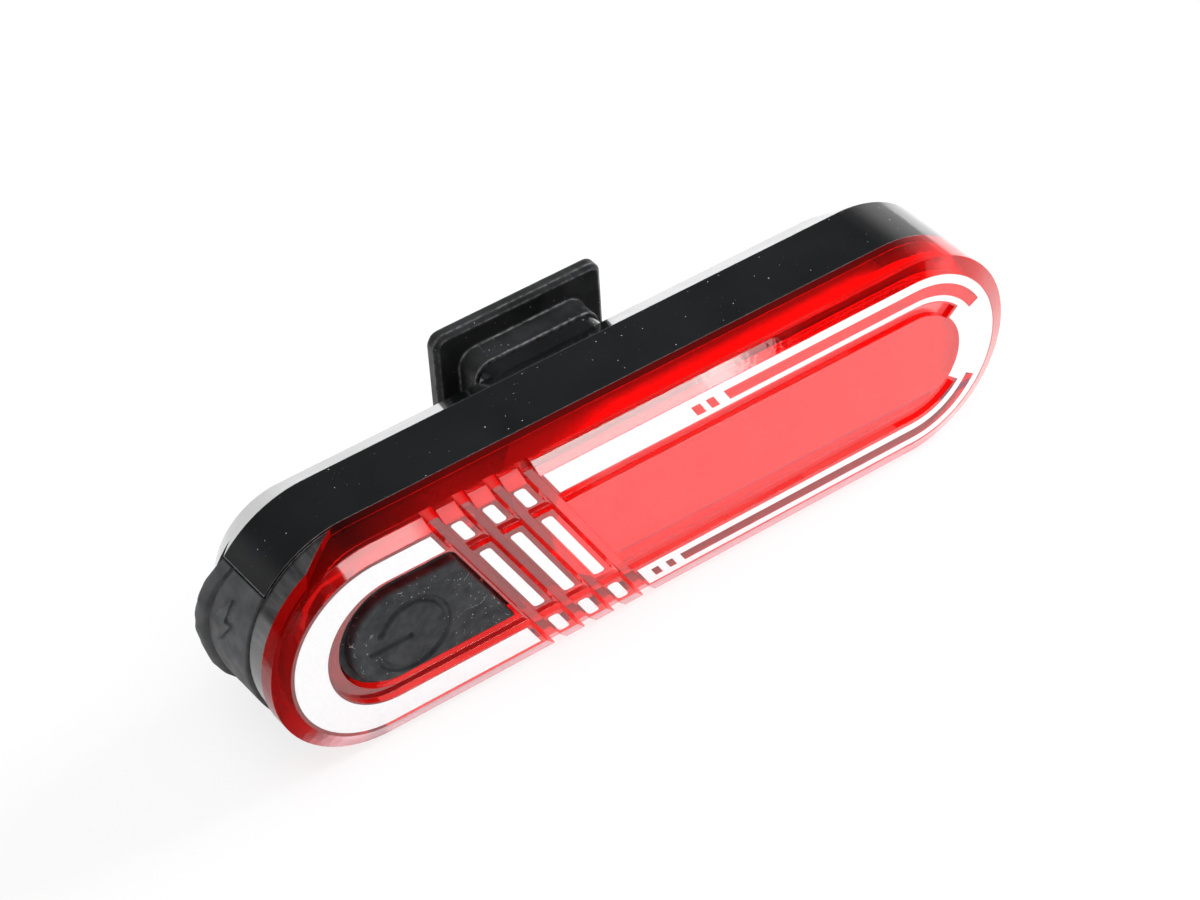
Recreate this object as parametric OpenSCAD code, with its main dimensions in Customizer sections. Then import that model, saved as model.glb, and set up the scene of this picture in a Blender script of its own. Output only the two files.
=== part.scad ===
// Rechargeable bicycle rear light, lying on its long side.
// X runs along the light, with the button and the charging socket at the -X end.
// Y runs through it, with the lens facing -Y and the strap plate at +Y. Z is up.

/* [Housing] */
// Length over the round ends
body_l = 75; // [70:0.5:95]
// Width across the long flat sides
body_w = 20.6; // [20.2:0.1:24]
// Depth of the straight side wall
side_d = 6; // [5.8:0.1:8]
// Depth of the sloped back behind the side wall
slope_d = 4.5; // [4.3:0.1:6]
// How far the sloped back draws in all round
slope_in = 3.5; // [2.6:0.1:3.6]
// Wall of the front rim, outside the seal
rim_wall = 1.4; // [1.2:0.05:1.5]
// Width of the ledge that carries the seal
ledge_w = 0.9; // [0.7:0.05:1]
// Depth of that ledge behind the joint with the lens
ledge_d = 1.6; // [1.4:0.05:1.8]
// Wall of the flat back
back_wall = 1.2; // [0.9:0.05:1.4]
// How far the rim at the charging end rises in front of the joint
rim_rise = 2.05; // [1:0.05:2.3]
// How far the raised rim stands in from the side wall
rim_inset = 0.25; // [0.1:0.05:0.4]
// Length of the ramp up to the raised rim
ramp_l = 3.75; // [2.5:0.05:5]
// Distance of the ramp's foot past the centre of the round end
ramp_start = 1.4; // [0.6:0.1:3]

/* [Lens] */
// Height of the lens in front of the joint
lens_d = 4.3; // [4.1:0.1:6]
// Depth of the bevel round the lens front
bevel_d = 0.64; // [0.3:0.02:0.9]
// Width of that bevel
bevel_w = 1.43; // [0.8:0.01:1.8]
// Height of the raised pads over the lens floor
relief_d = 0.6; // [0.5:0.05:0.8]
// Thickness of the lens floor
floor_t = 1.9; // [1.6:0.05:2]
// How far the tongue reaches behind the joint
tongue_d = 1; // [0.6:0.05:1.1]
// Gap round the tongue and under the skirt
joint_gap = 0.1; // [0.05:0.01:0.15]
// Lean of the pads, the frame ends and the button's straight side
slant_angle = 29; // [20:1:35]
// Number of pad columns
pad_count = 3; // [1:1:3]
// Width of a pad along the light
pad_w = 1.8; // [1.4:0.05:2.2]
// How far the foot of a pad's far side slopes out
pad_flank = 0.45; // [0.1:0.05:0.6]
// Distance from one pad column to the next
pad_pitch = 3.03; // [2.8:0.01:3.4]
// Distance of the first pad column from the centre of the button end
pad_start = 12.45; // [12.2:0.05:14]
// Channel before the first pad column and after the last
lead_w = 1.3; // [1:0.05:1.6]
// Half width of the window and of the long pads
window_half = 4.85; // [4:0.05:5.2]
// Width of the two long channels beside the window
channel_w = 1.25; // [0.8:0.05:1.4]
// Angle at which the long channels stop round the far end
channel_stop = 43; // [30:1:70]

/* [Button] */
// Half width inside the raised frame round the button
frame_half = 6.15; // [6:0.05:6.3]
// How far that frame's inner round end lies in from the centre of the light's end
frame_shift = 0.9; // [0.5:0.05:1.1]
// Half width of the button's opening in the sunk ledge
opening_half = 5.45; // [5.2:0.05:5.6]
// How far the opening's round end lies in from the centre of the light's end
opening_shift = 1.45; // [1.2:0.05:1.7]
// How far the opening's straight side lies past the frame's arms
opening_on = 0.1; // [0:0.02:0.14]
// Rounding of the opening's wide corner
opening_corner_r = 1.3; // [0.8:0.1:2]
// Gap round the button
button_gap = 0.25; // [0.2:0.01:0.35]
// How far the edge of the button's cap lies behind the raised frame
button_recess = 0.35; // [0.3:0.05:0.5]
// Height of the cap's crown
button_crown = 0.15; // [0.1:0.01:0.25]
// How far the cap stands in from the button's shoulder
shoulder_in = 0.6; // [0.4:0.05:0.8]
// How far that shoulder lies behind the raised frame
shoulder_recess = 1.1; // [0.95:0.05:1.3]
// Travel of the button and of the switch
button_travel = 0.5; // [0.2:0.05:0.5]
// How far the button's flange reaches under the lens
flange_w = 0.8; // [0.5:0.05:1]
// Thickness of that flange
flange_t = 0.9; // [0.6:0.05:1]
// Distance of the switch from the centre of the button end
switch_in = 3.3; // [2.8:0.1:4.5]

/* [Charging end] */
// Thickness of the rubber cover
cover_t = 0.9; // [0.7:0.05:0.95]
// Half width of the cover
cover_half = 6.45; // [5.5:0.05:6.8]
// Depth of the cover's back edge behind the joint, at its middle
cover_d = 7.4; // [7:0.1:7.6]
// Radius of the arch of that edge
cover_arch_r = 15.6; // [14:0.2:30]
// Gap between the cover and its recess
cover_gap = 0.15; // [0.12:0.01:0.2]
// Width of the cover's pull lip
lip_w = 1.3; // [0.9:0.05:1.5]
// How far the pull lip stands out of the light's end
lip_proud = 0.7; // [0.3:0.05:0.9]
// Width of the groove beside the pull lip
groove_w = 0.35; // [0.2:0.05:0.5]
// Depth of that groove
groove_d = 0.3; // [0.1:0.05:0.4]
// Width of the socket
socket_w = 7.5; // [7.2:0.1:8]
// Height of the socket
socket_h = 2.6; // [2.4:0.05:2.7]
// Length of the socket
socket_l = 5.6; // [5:0.1:6.5]
// Sheet of the socket's shell
socket_sheet = 0.3; // [0.2:0.05:0.35]
// How far the socket's mouth lies behind the recess
socket_in = 1.2; // [1.1:0.05:1.6]
// Gap between the socket and the housing
socket_gap = 0.3; // [0.2:0.05:0.4]

/* [Circuit and battery] */
// Thickness of the main board
board_t = 1; // [0.6:0.1:1.2]
// Gap between the board's edge and the housing
board_gap = 0.25; // [0.15:0.05:0.5]
// Height of the switch's body
switch_h = 3.5; // [3:0.1:3.7]
// Side of the switch's body
switch_w = 6; // [5:0.1:6.5]
// Radius of the switch's plunger
plunger_r = 1.6; // [1.2:0.1:1.8]
// Gap between the battery cell and the post at the window end
cell_gap = 1.6; // [0.8:0.1:6]
// Width of the battery cell
cell_w = 9.4; // [7:0.1:9.6]
// Thickness of the battery cell
cell_t = 2.7; // [2:0.1:2.75]
// Thickness of the foam tape under the cell
tape_t = 0.4; // [0.2:0.05:0.4]
// Distance of the battery leads past the side posts
lead_in = 3.9; // [3.4:0.1:8]
// Radius of a battery lead
lead_r = 0.45; // [0.3:0.05:0.6]
// Length of bare board past each end of the light strip
strip_end = 1; // [0.5:0.1:4]
// Width of the light strip
strip_w = 2.4; // [1.6:0.1:3]
// Width of the light strip's own board
strip_board_w = 4.4; // [3.4:0.1:5.4]

/* [Strap plate] */
// Length of the strap plate
plate_l = 17.2; // [15:0.1:20]
// Height of the strap plate
plate_h = 18; // [15.6:0.1:20]
// Thickness of the strap plate
plate_t = 1.6; // [1.4:0.1:2.5]
// Corner radius of the strap plate
plate_r = 1.2; // [1:0.1:3]
// Rounding of the strap plate's edges
plate_edge = 0.4; // [0.1:0.05:0.6]
// Length of the block that carries the plate
block_l = 12.8; // [11:0.1:13.5]
// Height of the block that carries the plate
block_h = 13.2; // [11:0.1:13.4]
// Depth of that block
block_d = 2.4; // [2:0.1:4]
// Corner radius of the block
block_r = 1.6; // [1:0.1:3]
// Depth of the pedestal on the housing that the block stands on
pedestal_d = 2; // [1.6:0.1:3]
// How far the pedestal stands in from the block
pedestal_in = 0.2; // [0.05:0.05:0.4]

/* [Screws] */
// Radius of a bracket screw
bracket_screw_r = 0.9; // [0.7:0.05:1]
// Head radius of a bracket screw
bracket_head_r = 1.7; // [1.5:0.05:2]
// Distance between the two bracket screws
bracket_screw_pitch = 7; // [5.5:0.1:7.6]
// Radius of a board screw
board_screw_r = 0.75; // [0.6:0.05:0.8]
// Head radius of a board screw
board_head_r = 1.3; // [1.1:0.05:1.35]
// Clearance round a screw in its hole
screw_gap = 0.05; // [0.03:0.01:0.08]

/* [Hidden] */
$fn = 64;
// Overlap of a cut past a face
over = 0.5;

half_w = body_w / 2;
half_l = body_l / 2;
half_span = half_l - half_w;
slant = tan(slant_angle);
back_y = side_d + slope_d;
plate_y = back_y + pedestal_d + block_d;
depth = lens_d + plate_y + plate_t;
rebate_r = half_w - rim_wall;
inner_r = rebate_r - ledge_w;
tongue_r = rebate_r - joint_gap;
floor_y = relief_d - lens_d;
under_lens_y = floor_y + floor_t;
inner_back_y = back_y - back_wall;
slope_rate = slope_in / slope_d;
// The inner slope starts a little before the outer one, so that the wall stays even
slope_lead = 0.4;
inner_slope_y = side_d - slope_lead;
inner_back_r = inner_r - (inner_back_y - inner_slope_y) * slope_rate;

// Pads and frames: places along the middle line
pad_x = pad_start - half_span;
frame_end_x = pad_x - pad_w / 2 - lead_w;
window_x = pad_x + (pad_count - 1) * pad_pitch + pad_w / 2 + lead_w;
channel_half = window_half + channel_w;
// Where the long channels start, on the floor of the first slanted channel
channel_x = frame_end_x + (pad_flank + lead_w) / 2;
// How much deeper the slanted channels are than the ones along the light
slant_drop = 0.2;
// How far the ends of the slanted channels start in from their sides, and how far they widen to the edge
exit_in = 0.05;
exit_flare = 0.45;

// Button and switch
frame_x = frame_shift - half_span;
opening_x = opening_shift - half_span;
opening_end_x = frame_end_x + opening_on;
button_y = button_recess - lens_d;
shoulder_y = shoulder_recess - lens_d;
// How far the cap's straight side stands in from the shoulder's
cap_end_in = 0.1;
flange_gap = 0.3;
flange_y = under_lens_y + flange_gap;
touch_gap = 0.05;
stem_r = 2.2;
switch_x = switch_in - half_span;
// How far the plunger stands out of the switch, at rest and when pressed
plunger_rest = 0.4;
plunger_out = button_travel + plunger_rest;
// Depth of the plunger in the switch beyond its travel
plunger_hold = 0.7;
plunger_gap = 0.1;

// Charging end
recess_r = half_w - cover_t - cover_gap;
cover_half_gap = cover_half + cover_gap;
skin_r = half_w - cover_t;
// How far the pull lip ends before the cover's sides
lip_short = 0.5;
socket_x = socket_in - half_span - recess_r;
// Gap from the seal's ledge to the socket's opening
ledge_floor = 0.5;
socket_y = ledge_d + ledge_floor + socket_gap;
socket_mid_y = socket_y + socket_h / 2;
socket_slope_w = 0.85;
socket_slope_h = 1.1;
plug_gap = 0.15;
plug_half = socket_w / 2 - plug_gap;
// Gap between the plug's front and the socket's front
plug_ease = 0.05;
// The cover's plug is thinner at the back, where it swings out
plug_swing = 0.75;

// Board, with its parts in front and the cell behind
board_y = socket_y + socket_h;
board_back_y = board_y + board_t;
board_r = inner_r - board_gap;
boss_wall = 0.85;
boss_r = board_screw_r + boss_wall;
// Gap between the end post and the housing's wall
boss_gap = 0.9;
// Distance of the side posts before the window, and from the board's edge
boss_lead = 5.5;
boss_margin = 0.6;
boss_end_x = half_span + inner_r - boss_r - boss_gap;
boss_side_x = window_x - boss_lead;
boss_side_z = board_r - boss_r - boss_margin;
screw_places = [[boss_end_x, 0], [boss_side_x, boss_side_z]];
post_places = [[boss_end_x, 0], [boss_side_x, boss_side_z], [boss_side_x, -boss_side_z]];
screw_head_h = 0.8;
// Gap past a screw's tip
tip_gap = 0.3;
terrace_l = 2;
terrace_t = 0.6;
tape_in = 1;
lead_z = 1.6;
lead_bend = 1.4;
lead_run = 0.8;
lead_x = boss_side_x + lead_in;
cell_y = board_back_y + tape_t;
cell_x = lead_x + lead_bend + lead_run + terrace_l;
cell_l = boss_end_x - boss_r - cell_gap - cell_x;
lead_y = cell_y + cell_t / 2;

// Reflector trough and light strip
reflector_gap = 0.7;
reflector_r = inner_r - reflector_gap;
reflector_lip = 0.4;
// How far the reflector reaches past the window's edge, under the pads
reflector_lead = 2.6;
// Gaps from the reflector to the end screw's head and to the lens
head_gap = 0.6;
lens_gap = 0.3;
reflector_x0 = window_x - reflector_lead + reflector_r;
reflector_x1 = boss_end_x - board_head_r - head_gap - reflector_r;
reflector_y = under_lens_y + lens_gap;
reflector_floor = 1;
// Thickness of the reflector's brim
brim_t = 0.8;
trough_y = board_y - reflector_floor;
// Room beside the light strip's board
strip_side = 0.8;
trough_r = strip_board_w / 2 + strip_side;
strip_board_t = 0.8;
strip_t = 0.5;

// Small parts on the board
chip_size = [5, 1.5, 4];
inductor_r = 2;
inductor_h = 1.8;
capacitor_size = [1.6, 0.9, 0.8];
capacitor_pitch = 2.4;
indicator_size = [1.6, 0.7, 0.8];
// Gap between small parts on the board
part_gap = 1;

// Bracket screws start in the flat back and end inside the plate
bracket_sink = bracket_head_r - bracket_screw_r;
screw_bite = 0.4;
bracket_screw_end = plate_y + screw_bite;
bracket_hole_end = bracket_screw_end + tip_gap;

// The light's own middle and joint plane, seen from the part's origin
x_mid = lip_proud / 2;
y_joint = lens_d - depth / 2;

// Moves a piece that is drawn from the joint plane and the middle line to its place
module place() {
    translate([x_mid, y_joint, half_w]) children();
}

// Round rod or cone along Y
module rod_y(r0, r1, y0, y1) {
    translate([0, y0, 0]) rotate([-90, 0, 0]) cylinder(h = y1 - y0, r1 = r0, r2 = r1);
}

// Outline in X and Z carried from one depth to another
module through(y0, y1) {
    translate([0, y1, 0]) rotate([90, 0, 0]) linear_extrude(y1 - y0) children();
}

// Long round-ended solid whose radius may change with depth
module obround(x0, x1, r0, r1, y0, y1) {
    for (x = [x0, x1]) {
        translate([x, 0, 0]) rod_y(r0, r1, y0, y1);
    }
    translate([x0, 0, 0]) rotate([90, 0, 90]) linear_extrude(x1 - x0)
        polygon([[y0, -r0], [y0, r0], [y1, r1], [y1, -r1]]);
}

// The light's own outline, drawn with the given radius
module light_outline(r0, r1, y0, y1) {
    obround(-half_span, half_span, r0, r1, y0, y1);
}

// Block from its lowest corner in X and Z, with its two depths
module slab(x0, x1, y0, y1, z0, z1) {
    translate([x0, y0, z0]) cube([x1 - x0, y1 - y0, z1 - z0]);
}

// Outline with rounded corners, centred
module round_corners(l, h, r) {
    square([l - 2 * r, h], center = true);
    square([l, h - 2 * r], center = true);
    for (x = [-1, 1], z = [-1, 1]) {
        translate([x * (l / 2 - r), z * (h / 2 - r)]) circle(r);
    }
}

// Channel across the lens that leans with the pads, wide w, whose first side slopes
module slant_channel(x, w) {
    across = cos(slant_angle);
    foot = pad_flank * across;
    translate([x, 0, 0]) rotate([0, -slant_angle, 0]) linear_extrude(2 * body_w, center = true)
        polygon([
            [foot, floor_y + slant_drop],
            [w * across, floor_y + slant_drop],
            [w * across, -lens_d - over],
            [-foot * over / (relief_d + slant_drop), -lens_d - over]
        ]);
}

// Sloped ends of a slanted channel, which follow the bevel and widen outwards
module channel_ends(x, w) {
    z0 = half_w - bevel_w;
    z1 = half_w + over;
    z2 = z1 + bevel_w;
    top_y = -lens_d - over;
    fall = bevel_d / bevel_w;
    for (side = [-1, 1]) {
        lean0 = side * z0 * slant;
        lean1 = side * z1 * slant;
        intersection() {
            through(top_y, under_lens_y) polygon([
                [x + pad_flank + exit_in - lean0, side * z0],
                [x + w - exit_in - lean0, side * z0],
                [x + w + exit_flare - lean1, side * z1],
                [x + pad_flank - exit_in - lean1, side * z1]
            ]);
            translate([-half_l, 0, 0]) rotate([90, 0, 90]) linear_extrude(body_l) polygon([
                [top_y - over, side * (z0 - bevel_w)],
                [floor_y - bevel_d, side * (z0 - bevel_w)],
                [floor_y + fall * (z2 - z0), side * z2],
                [top_y - over, side * z2]
            ]);
        }
    }
}

// The zone at the charging end where the rim stands in front of the joint
module rim_zone(gap) {
    foot_x = -half_span - ramp_start + gap;
    translate([0, 0, -half_w - over]) linear_extrude(body_w + 2 * over)
        polygon([
            [foot_x, over],
            [foot_x, 0],
            [foot_x - ramp_l, -rim_rise - gap],
            [-half_l - over, -rim_rise - gap],
            [-half_l - over, over]
        ]);
}

// The button's outline, round at the end and straight on the pads' side, with its wide corner rounded
module button_outline(grow, end_grow, y0, y1) {
    r = opening_half + grow;
    c = opening_corner_r + grow;
    x1 = opening_end_x + end_grow / cos(slant_angle);
    corner_x = x1 - (r - c) * slant - c / cos(slant_angle);
    translate([opening_x, 0, 0]) rod_y(r, r, y0, y1);
    translate([corner_x, 0, r - c]) rod_y(c, c, y0, y1);
    through(y0, y1) polygon([
        [opening_x, -r],
        [x1 + r * slant, -r],
        [corner_x + c * cos(slant_angle), r - c + c * sin(slant_angle)],
        [corner_x, r],
        [opening_x, r]
    ]);
}

// The sunk ledge inside the raised frame round the button
module button_ledge() {
    top_y = -lens_d - over;
    translate([frame_x, 0, 0]) rod_y(frame_half, frame_half, top_y, floor_y);
    through(top_y, floor_y) polygon([
        [frame_x, -frame_half],
        [channel_x + frame_half * slant, -frame_half],
        [channel_x - frame_half * slant, frame_half],
        [frame_x, frame_half]
    ]);
}

// The channels that leave the pads, frames and window standing
module relief_channels() {
    top_y = -lens_d - over;
    for (x = [frame_end_x, window_x - lead_w]) {
        slant_channel(x, lead_w);
        channel_ends(x, lead_w);
    }
    for (i = [0:1:pad_count - 2]) {
        slant_channel(pad_x + i * pad_pitch + pad_w / 2, pad_pitch - pad_w);
        channel_ends(pad_x + i * pad_pitch + pad_w / 2, pad_pitch - pad_w);
    }
    for (side = [-1, 1]) {
        z0 = side > 0 ? window_half : -channel_half;
        z1 = z0 + channel_w;
        through(top_y, floor_y) polygon([
            [channel_x - z0 * slant, z0],
            [half_span, z0],
            [half_span, z1],
            [channel_x - z1 * slant, z1]
        ]);
    }
    translate([half_span, 0, 0]) difference() {
        rod_y(channel_half, channel_half, top_y, floor_y);
        rod_y(window_half, window_half, top_y - over, floor_y + over);
        slab(-body_w, 0, top_y - over, floor_y + over, -body_w, body_w);
        through(top_y - over, floor_y + over) polygon([
            [0, 0],
            [body_w * cos(channel_stop), -body_w * sin(channel_stop)],
            [body_w * 2, 0],
            [body_w * cos(channel_stop), body_w * sin(channel_stop)]
        ]);
    }
}

module housing() {
    boss_top_y = board_back_y;
    color([0.05, 0.05, 0.06]) place() difference() {
        union() {
            difference() {
                union() {
                    light_outline(half_w, half_w, 0, side_d);
                    light_outline(half_w, half_w - slope_in, side_d, back_y);
                    intersection() {
                        light_outline(half_w - rim_inset, half_w - rim_inset, -rim_rise, over);
                        rim_zone(0);
                    }
                    through(back_y - over, back_y + pedestal_d)
                        round_corners(block_l - 2 * pedestal_in, block_h - 2 * pedestal_in, block_r);
                }
                light_outline(rebate_r, rebate_r, -rim_rise - over, ledge_d);
                light_outline(inner_r, inner_r, ledge_d - over, inner_slope_y);
                light_outline(inner_r, inner_back_r, inner_slope_y, inner_back_y);
                cover_recess();
                socket_opening();
            }
            for (p = post_places) {
                translate([p[0], 0, p[1]]) rod_y(boss_r, boss_r, boss_top_y, inner_back_y + back_wall / 2);
            }
        }
        for (p = screw_places) {
            translate([p[0], 0, p[1]])
                rod_y(board_screw_r + screw_gap, board_screw_r + screw_gap, boss_top_y - over, inner_back_y);
        }
        for (side = [-1, 1]) {
            hole_r = bracket_screw_r + screw_gap;
            translate([side * bracket_screw_pitch / 2, 0, 0]) {
                rod_y(hole_r, hole_r, inner_back_y - over, back_y + pedestal_d + over);
                rod_y(bracket_head_r + screw_gap, hole_r, inner_back_y, inner_back_y + bracket_sink);
            }
        }
    }
}

// Recess for the cover in the round end, open at the back
module cover_recess() {
    translate([-half_span, 0, 0]) difference() {
        slab(-half_w - over, 0, 0, back_y, -cover_half_gap, cover_half_gap);
        rod_y(recess_r, recess_r, -over, back_y + over);
    }
}

// Opening in the end wall for the socket and the cover's plug
module socket_opening() {
    slab(-half_l - over, -half_span, socket_y - socket_gap, board_y + socket_gap,
         -socket_w / 2 - socket_gap, socket_w / 2 + socket_gap);
}

module lens() {
    color([0.85, 0.05, 0.05, 0.7]) place() difference() {
        union() {
            difference() {
                union() {
                    light_outline(half_w, half_w, bevel_d - lens_d, 0);
                    light_outline(half_w - bevel_w, half_w, -lens_d, bevel_d - lens_d);
                }
                rim_zone(joint_gap);
            }
            light_outline(tongue_r, tongue_r, under_lens_y - floor_t / 2, tongue_d);
        }
        light_outline(inner_r, inner_r, under_lens_y, tongue_d + over);
        relief_channels();
        button_ledge();
        button_outline(0, 0, -lens_d - over, under_lens_y + over);
    }
}

module lens_seal() {
    outer_r = rebate_r - joint_gap;
    ring_r = inner_r + joint_gap;
    front_y = tongue_d + joint_gap / 2;
    color([0.12, 0.12, 0.12]) place() difference() {
        light_outline(outer_r, outer_r, front_y, ledge_d);
        light_outline(ring_r, ring_r, front_y - over, ledge_d + over);
    }
}

module power_button() {
    cap_in = button_gap + shoulder_in;
    cap_half = opening_half - cap_in;
    crown_r = (cap_half * cap_half + button_crown * button_crown) / (2 * button_crown);
    top_y = button_y - button_crown;
    stem_end = board_y - switch_h - plunger_out - touch_gap;
    color([0.08, 0.08, 0.08]) place() {
        intersection() {
            button_outline(-cap_in, -button_gap - cap_end_in, top_y, flange_y);
            translate([-half_l, top_y + crown_r, 0]) rotate([0, 90, 0])
                cylinder(h = body_l, r = crown_r, $fn = 128);
        }
        button_outline(-button_gap, -button_gap, shoulder_y, flange_y + flange_t / 2);
        button_outline(flange_w, flange_w, flange_y, flange_y + flange_t);
        translate([switch_x, 0, 0]) rod_y(stem_r, stem_r, flange_y + flange_t / 2, stem_end);
    }
}

module switch_body() {
    top_y = board_y - switch_h;
    bore_r = plunger_r + plunger_gap;
    color([0.18, 0.18, 0.2]) place() translate([switch_x, 0, 0]) difference() {
        slab(-switch_w / 2, switch_w / 2, top_y, board_y, -switch_w / 2, switch_w / 2);
        rod_y(bore_r, bore_r, top_y - over, top_y + plunger_hold + button_travel + plunger_gap);
    }
}

module switch_plunger() {
    top_y = board_y - switch_h;
    color([0.75, 0.2, 0.15]) place() translate([switch_x, 0, 0])
        rod_y(plunger_r, plunger_r, top_y - plunger_out, top_y + plunger_hold);
}

module main_board() {
    hole_r = board_screw_r + 2 * screw_gap;
    color([0.05, 0.3, 0.15]) place() difference() {
        light_outline(board_r, board_r, board_y, board_back_y);
        for (p = screw_places) {
            translate([p[0], 0, p[1]]) rod_y(hole_r, hole_r, board_y - over, board_back_y + over);
        }
    }
}

module charging_chip() {
    color([0.06, 0.06, 0.06]) place()
        translate([switch_x, board_back_y, -chip_size[2] / 2]) cube(chip_size);
}

module inductor() {
    color([0.3, 0.3, 0.32]) place()
        translate([switch_x + chip_size[0] + part_gap + inductor_r, 0, 0])
            rod_y(inductor_r, inductor_r, board_back_y, board_back_y + inductor_h);
}

module board_capacitors() {
    x0 = switch_x - part_gap - capacitor_size[0];
    color([0.7, 0.55, 0.35]) place() for (i = [-1:1:1]) {
        translate([x0, board_back_y, i * capacitor_pitch - capacitor_size[2] / 2]) cube(capacitor_size);
    }
}

module charge_indicator() {
    color([0.95, 0.95, 0.85]) place()
        translate([pad_x, board_y - indicator_size[1], -indicator_size[2] / 2]) cube(indicator_size);
}

// Cross-section of the socket, square at the board and drawn in at its far side
module socket_profile(inset) {
    half = socket_w / 2 - inset;
    polygon([
        [board_y - inset, -half],
        [board_y - inset, half],
        [board_y - socket_h + socket_slope_h, half],
        [socket_y + inset, half - socket_slope_w],
        [socket_y + inset, socket_slope_w - half],
        [board_y - socket_h + socket_slope_h, -half]
    ]);
}

module socket_prism(x0, x1, inset) {
    translate([x0, 0, 0]) rotate([90, 0, 90]) linear_extrude(x1 - x0) socket_profile(inset);
}

module socket_shell() {
    color([0.75, 0.75, 0.77]) place() difference() {
        socket_prism(socket_x, socket_x + socket_l, 0);
        socket_prism(socket_x - over, socket_x + socket_l - socket_sheet, socket_sheet);
    }
}

module socket_insert() {
    core_l = 1.6;
    blade_t = 0.6;
    blade_half = 1.9;
    blade_in = 0.9;
    end_x = socket_x + socket_l - socket_sheet;
    color([0.1, 0.1, 0.1]) place() {
        socket_prism(end_x - core_l, end_x, socket_sheet);
        slab(socket_x + blade_in, end_x - core_l / 2, socket_mid_y - blade_t / 2, socket_mid_y + blade_t / 2,
             -blade_half, blade_half);
    }
}

// Ring of the charging end, between two radii
module end_ring(r0, r1) {
    difference() {
        rod_y(r1, r1, cover_gap, cover_d);
        rod_y(r0, r0, cover_gap - over, cover_d + over);
    }
}

// Everything in front of the arch that lies the given distance before the cover's back edge
module arch_zone(back) {
    r = cover_arch_r - back;
    translate([-body_w, cover_d - cover_arch_r, 0]) rotate([0, 90, 0]) cylinder(h = body_w, r = r, $fn = 128);
}

module charging_cover() {
    lip_half = cover_half - lip_short;
    plug_root_r = skin_r + cover_t / 2;
    color([0.1, 0.1, 0.1]) place() {
        translate([-half_span, 0, 0]) {
            intersection() {
                difference() {
                    end_ring(skin_r, half_w);
                    difference() {
                        end_ring(half_w - groove_d, half_w + over);
                        arch_zone(lip_w);
                    }
                }
                arch_zone(0);
                slab(-half_l, 0, 0, cover_d + over, -cover_half, cover_half);
            }
            difference() {
                intersection() {
                    end_ring(skin_r, half_w + lip_proud);
                    arch_zone(0);
                    slab(-half_l, 0, 0, cover_d + over, -lip_half, lip_half);
                }
                arch_zone(lip_w - groove_w);
            }
        }
        difference() {
            slab(-half_span - skin_r - cover_t / 2, socket_x - plug_gap,
                 socket_y + plug_ease, board_y + socket_gap - plug_swing, -plug_half, plug_half);
            translate([-half_span, 0, 0]) difference() {
                rod_y(half_l, half_l, -over, side_d);
                rod_y(plug_root_r, plug_root_r, -2 * over, side_d + over);
            }
        }
    }
}

module battery_cell() {
    edge_r = cell_t / 2;
    half = cell_w / 2 - edge_r;
    color([0.72, 0.74, 0.78]) place() {
        for (side = [-1, 1]) {
            translate([cell_x, cell_y + edge_r, side * half]) rotate([0, 90, 0])
                cylinder(h = cell_l, r = edge_r);
        }
        slab(cell_x, cell_x + cell_l, cell_y, cell_y + cell_t, -half, half);
        slab(cell_x - terrace_l, cell_x + over, lead_y - terrace_t / 2, lead_y + terrace_t / 2, -half, half);
    }
}

module battery_tape() {
    half = cell_w / 2 - cell_t / 2;
    color([0.85, 0.85, 0.8]) place()
        slab(cell_x + tape_in, cell_x + cell_l - tape_in, board_back_y, cell_y, -half, half);
}

module battery_leads() {
    bend_x = lead_x + lead_bend;
    color([0.7, 0.1, 0.1]) place() for (side = [-1, 1]) {
        translate([0, 0, side * lead_z]) {
            translate([bend_x, lead_y, 0]) rotate([0, 90, 0]) cylinder(h = lead_run, r = lead_r);
            translate([bend_x, lead_y - lead_bend, 0]) rotate([0, 0, 90])
                rotate_extrude(angle = 90) translate([lead_bend, 0]) circle(lead_r);
            translate([lead_x, 0, 0]) rod_y(lead_r, lead_r, board_back_y, lead_y - lead_bend);
        }
    }
}

module reflector() {
    mouth_r = reflector_r - reflector_lip;
    brim_r = inner_r - lens_gap;
    flare = (mouth_r - trough_r) / (trough_y - reflector_y);
    color([0.95, 0.95, 0.94]) place() difference() {
        union() {
            obround(reflector_x0, reflector_x1, reflector_r, reflector_r, reflector_y, board_y);
            obround(reflector_x0, half_span, brim_r, brim_r, reflector_y, reflector_y + brim_t);
        }
        obround(reflector_x0, reflector_x1, mouth_r + flare * over, trough_r, reflector_y - over, trough_y);
    }
}

module strip_board() {
    half = strip_board_w / 2;
    color([0.9, 0.9, 0.88]) place()
        slab(reflector_x0, reflector_x1, trough_y - strip_board_t, trough_y, -half, half);
}

module light_strip() {
    r = strip_w / 2;
    front_y = trough_y - strip_board_t - strip_t;
    color([0.95, 0.8, 0.3]) place()
        obround(reflector_x0 + strip_end + r, reflector_x1 - strip_end - r, r, r, front_y, front_y + strip_t);
}

module board_screws() {
    color([0.6, 0.6, 0.62]) place() for (p = screw_places) {
        translate([p[0], 0, p[1]]) {
            rod_y(board_head_r, board_head_r, board_y - screw_head_h, board_y);
            rod_y(board_screw_r, board_screw_r, board_y - screw_head_h / 2, inner_back_y - tip_gap);
        }
    }
}

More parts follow.
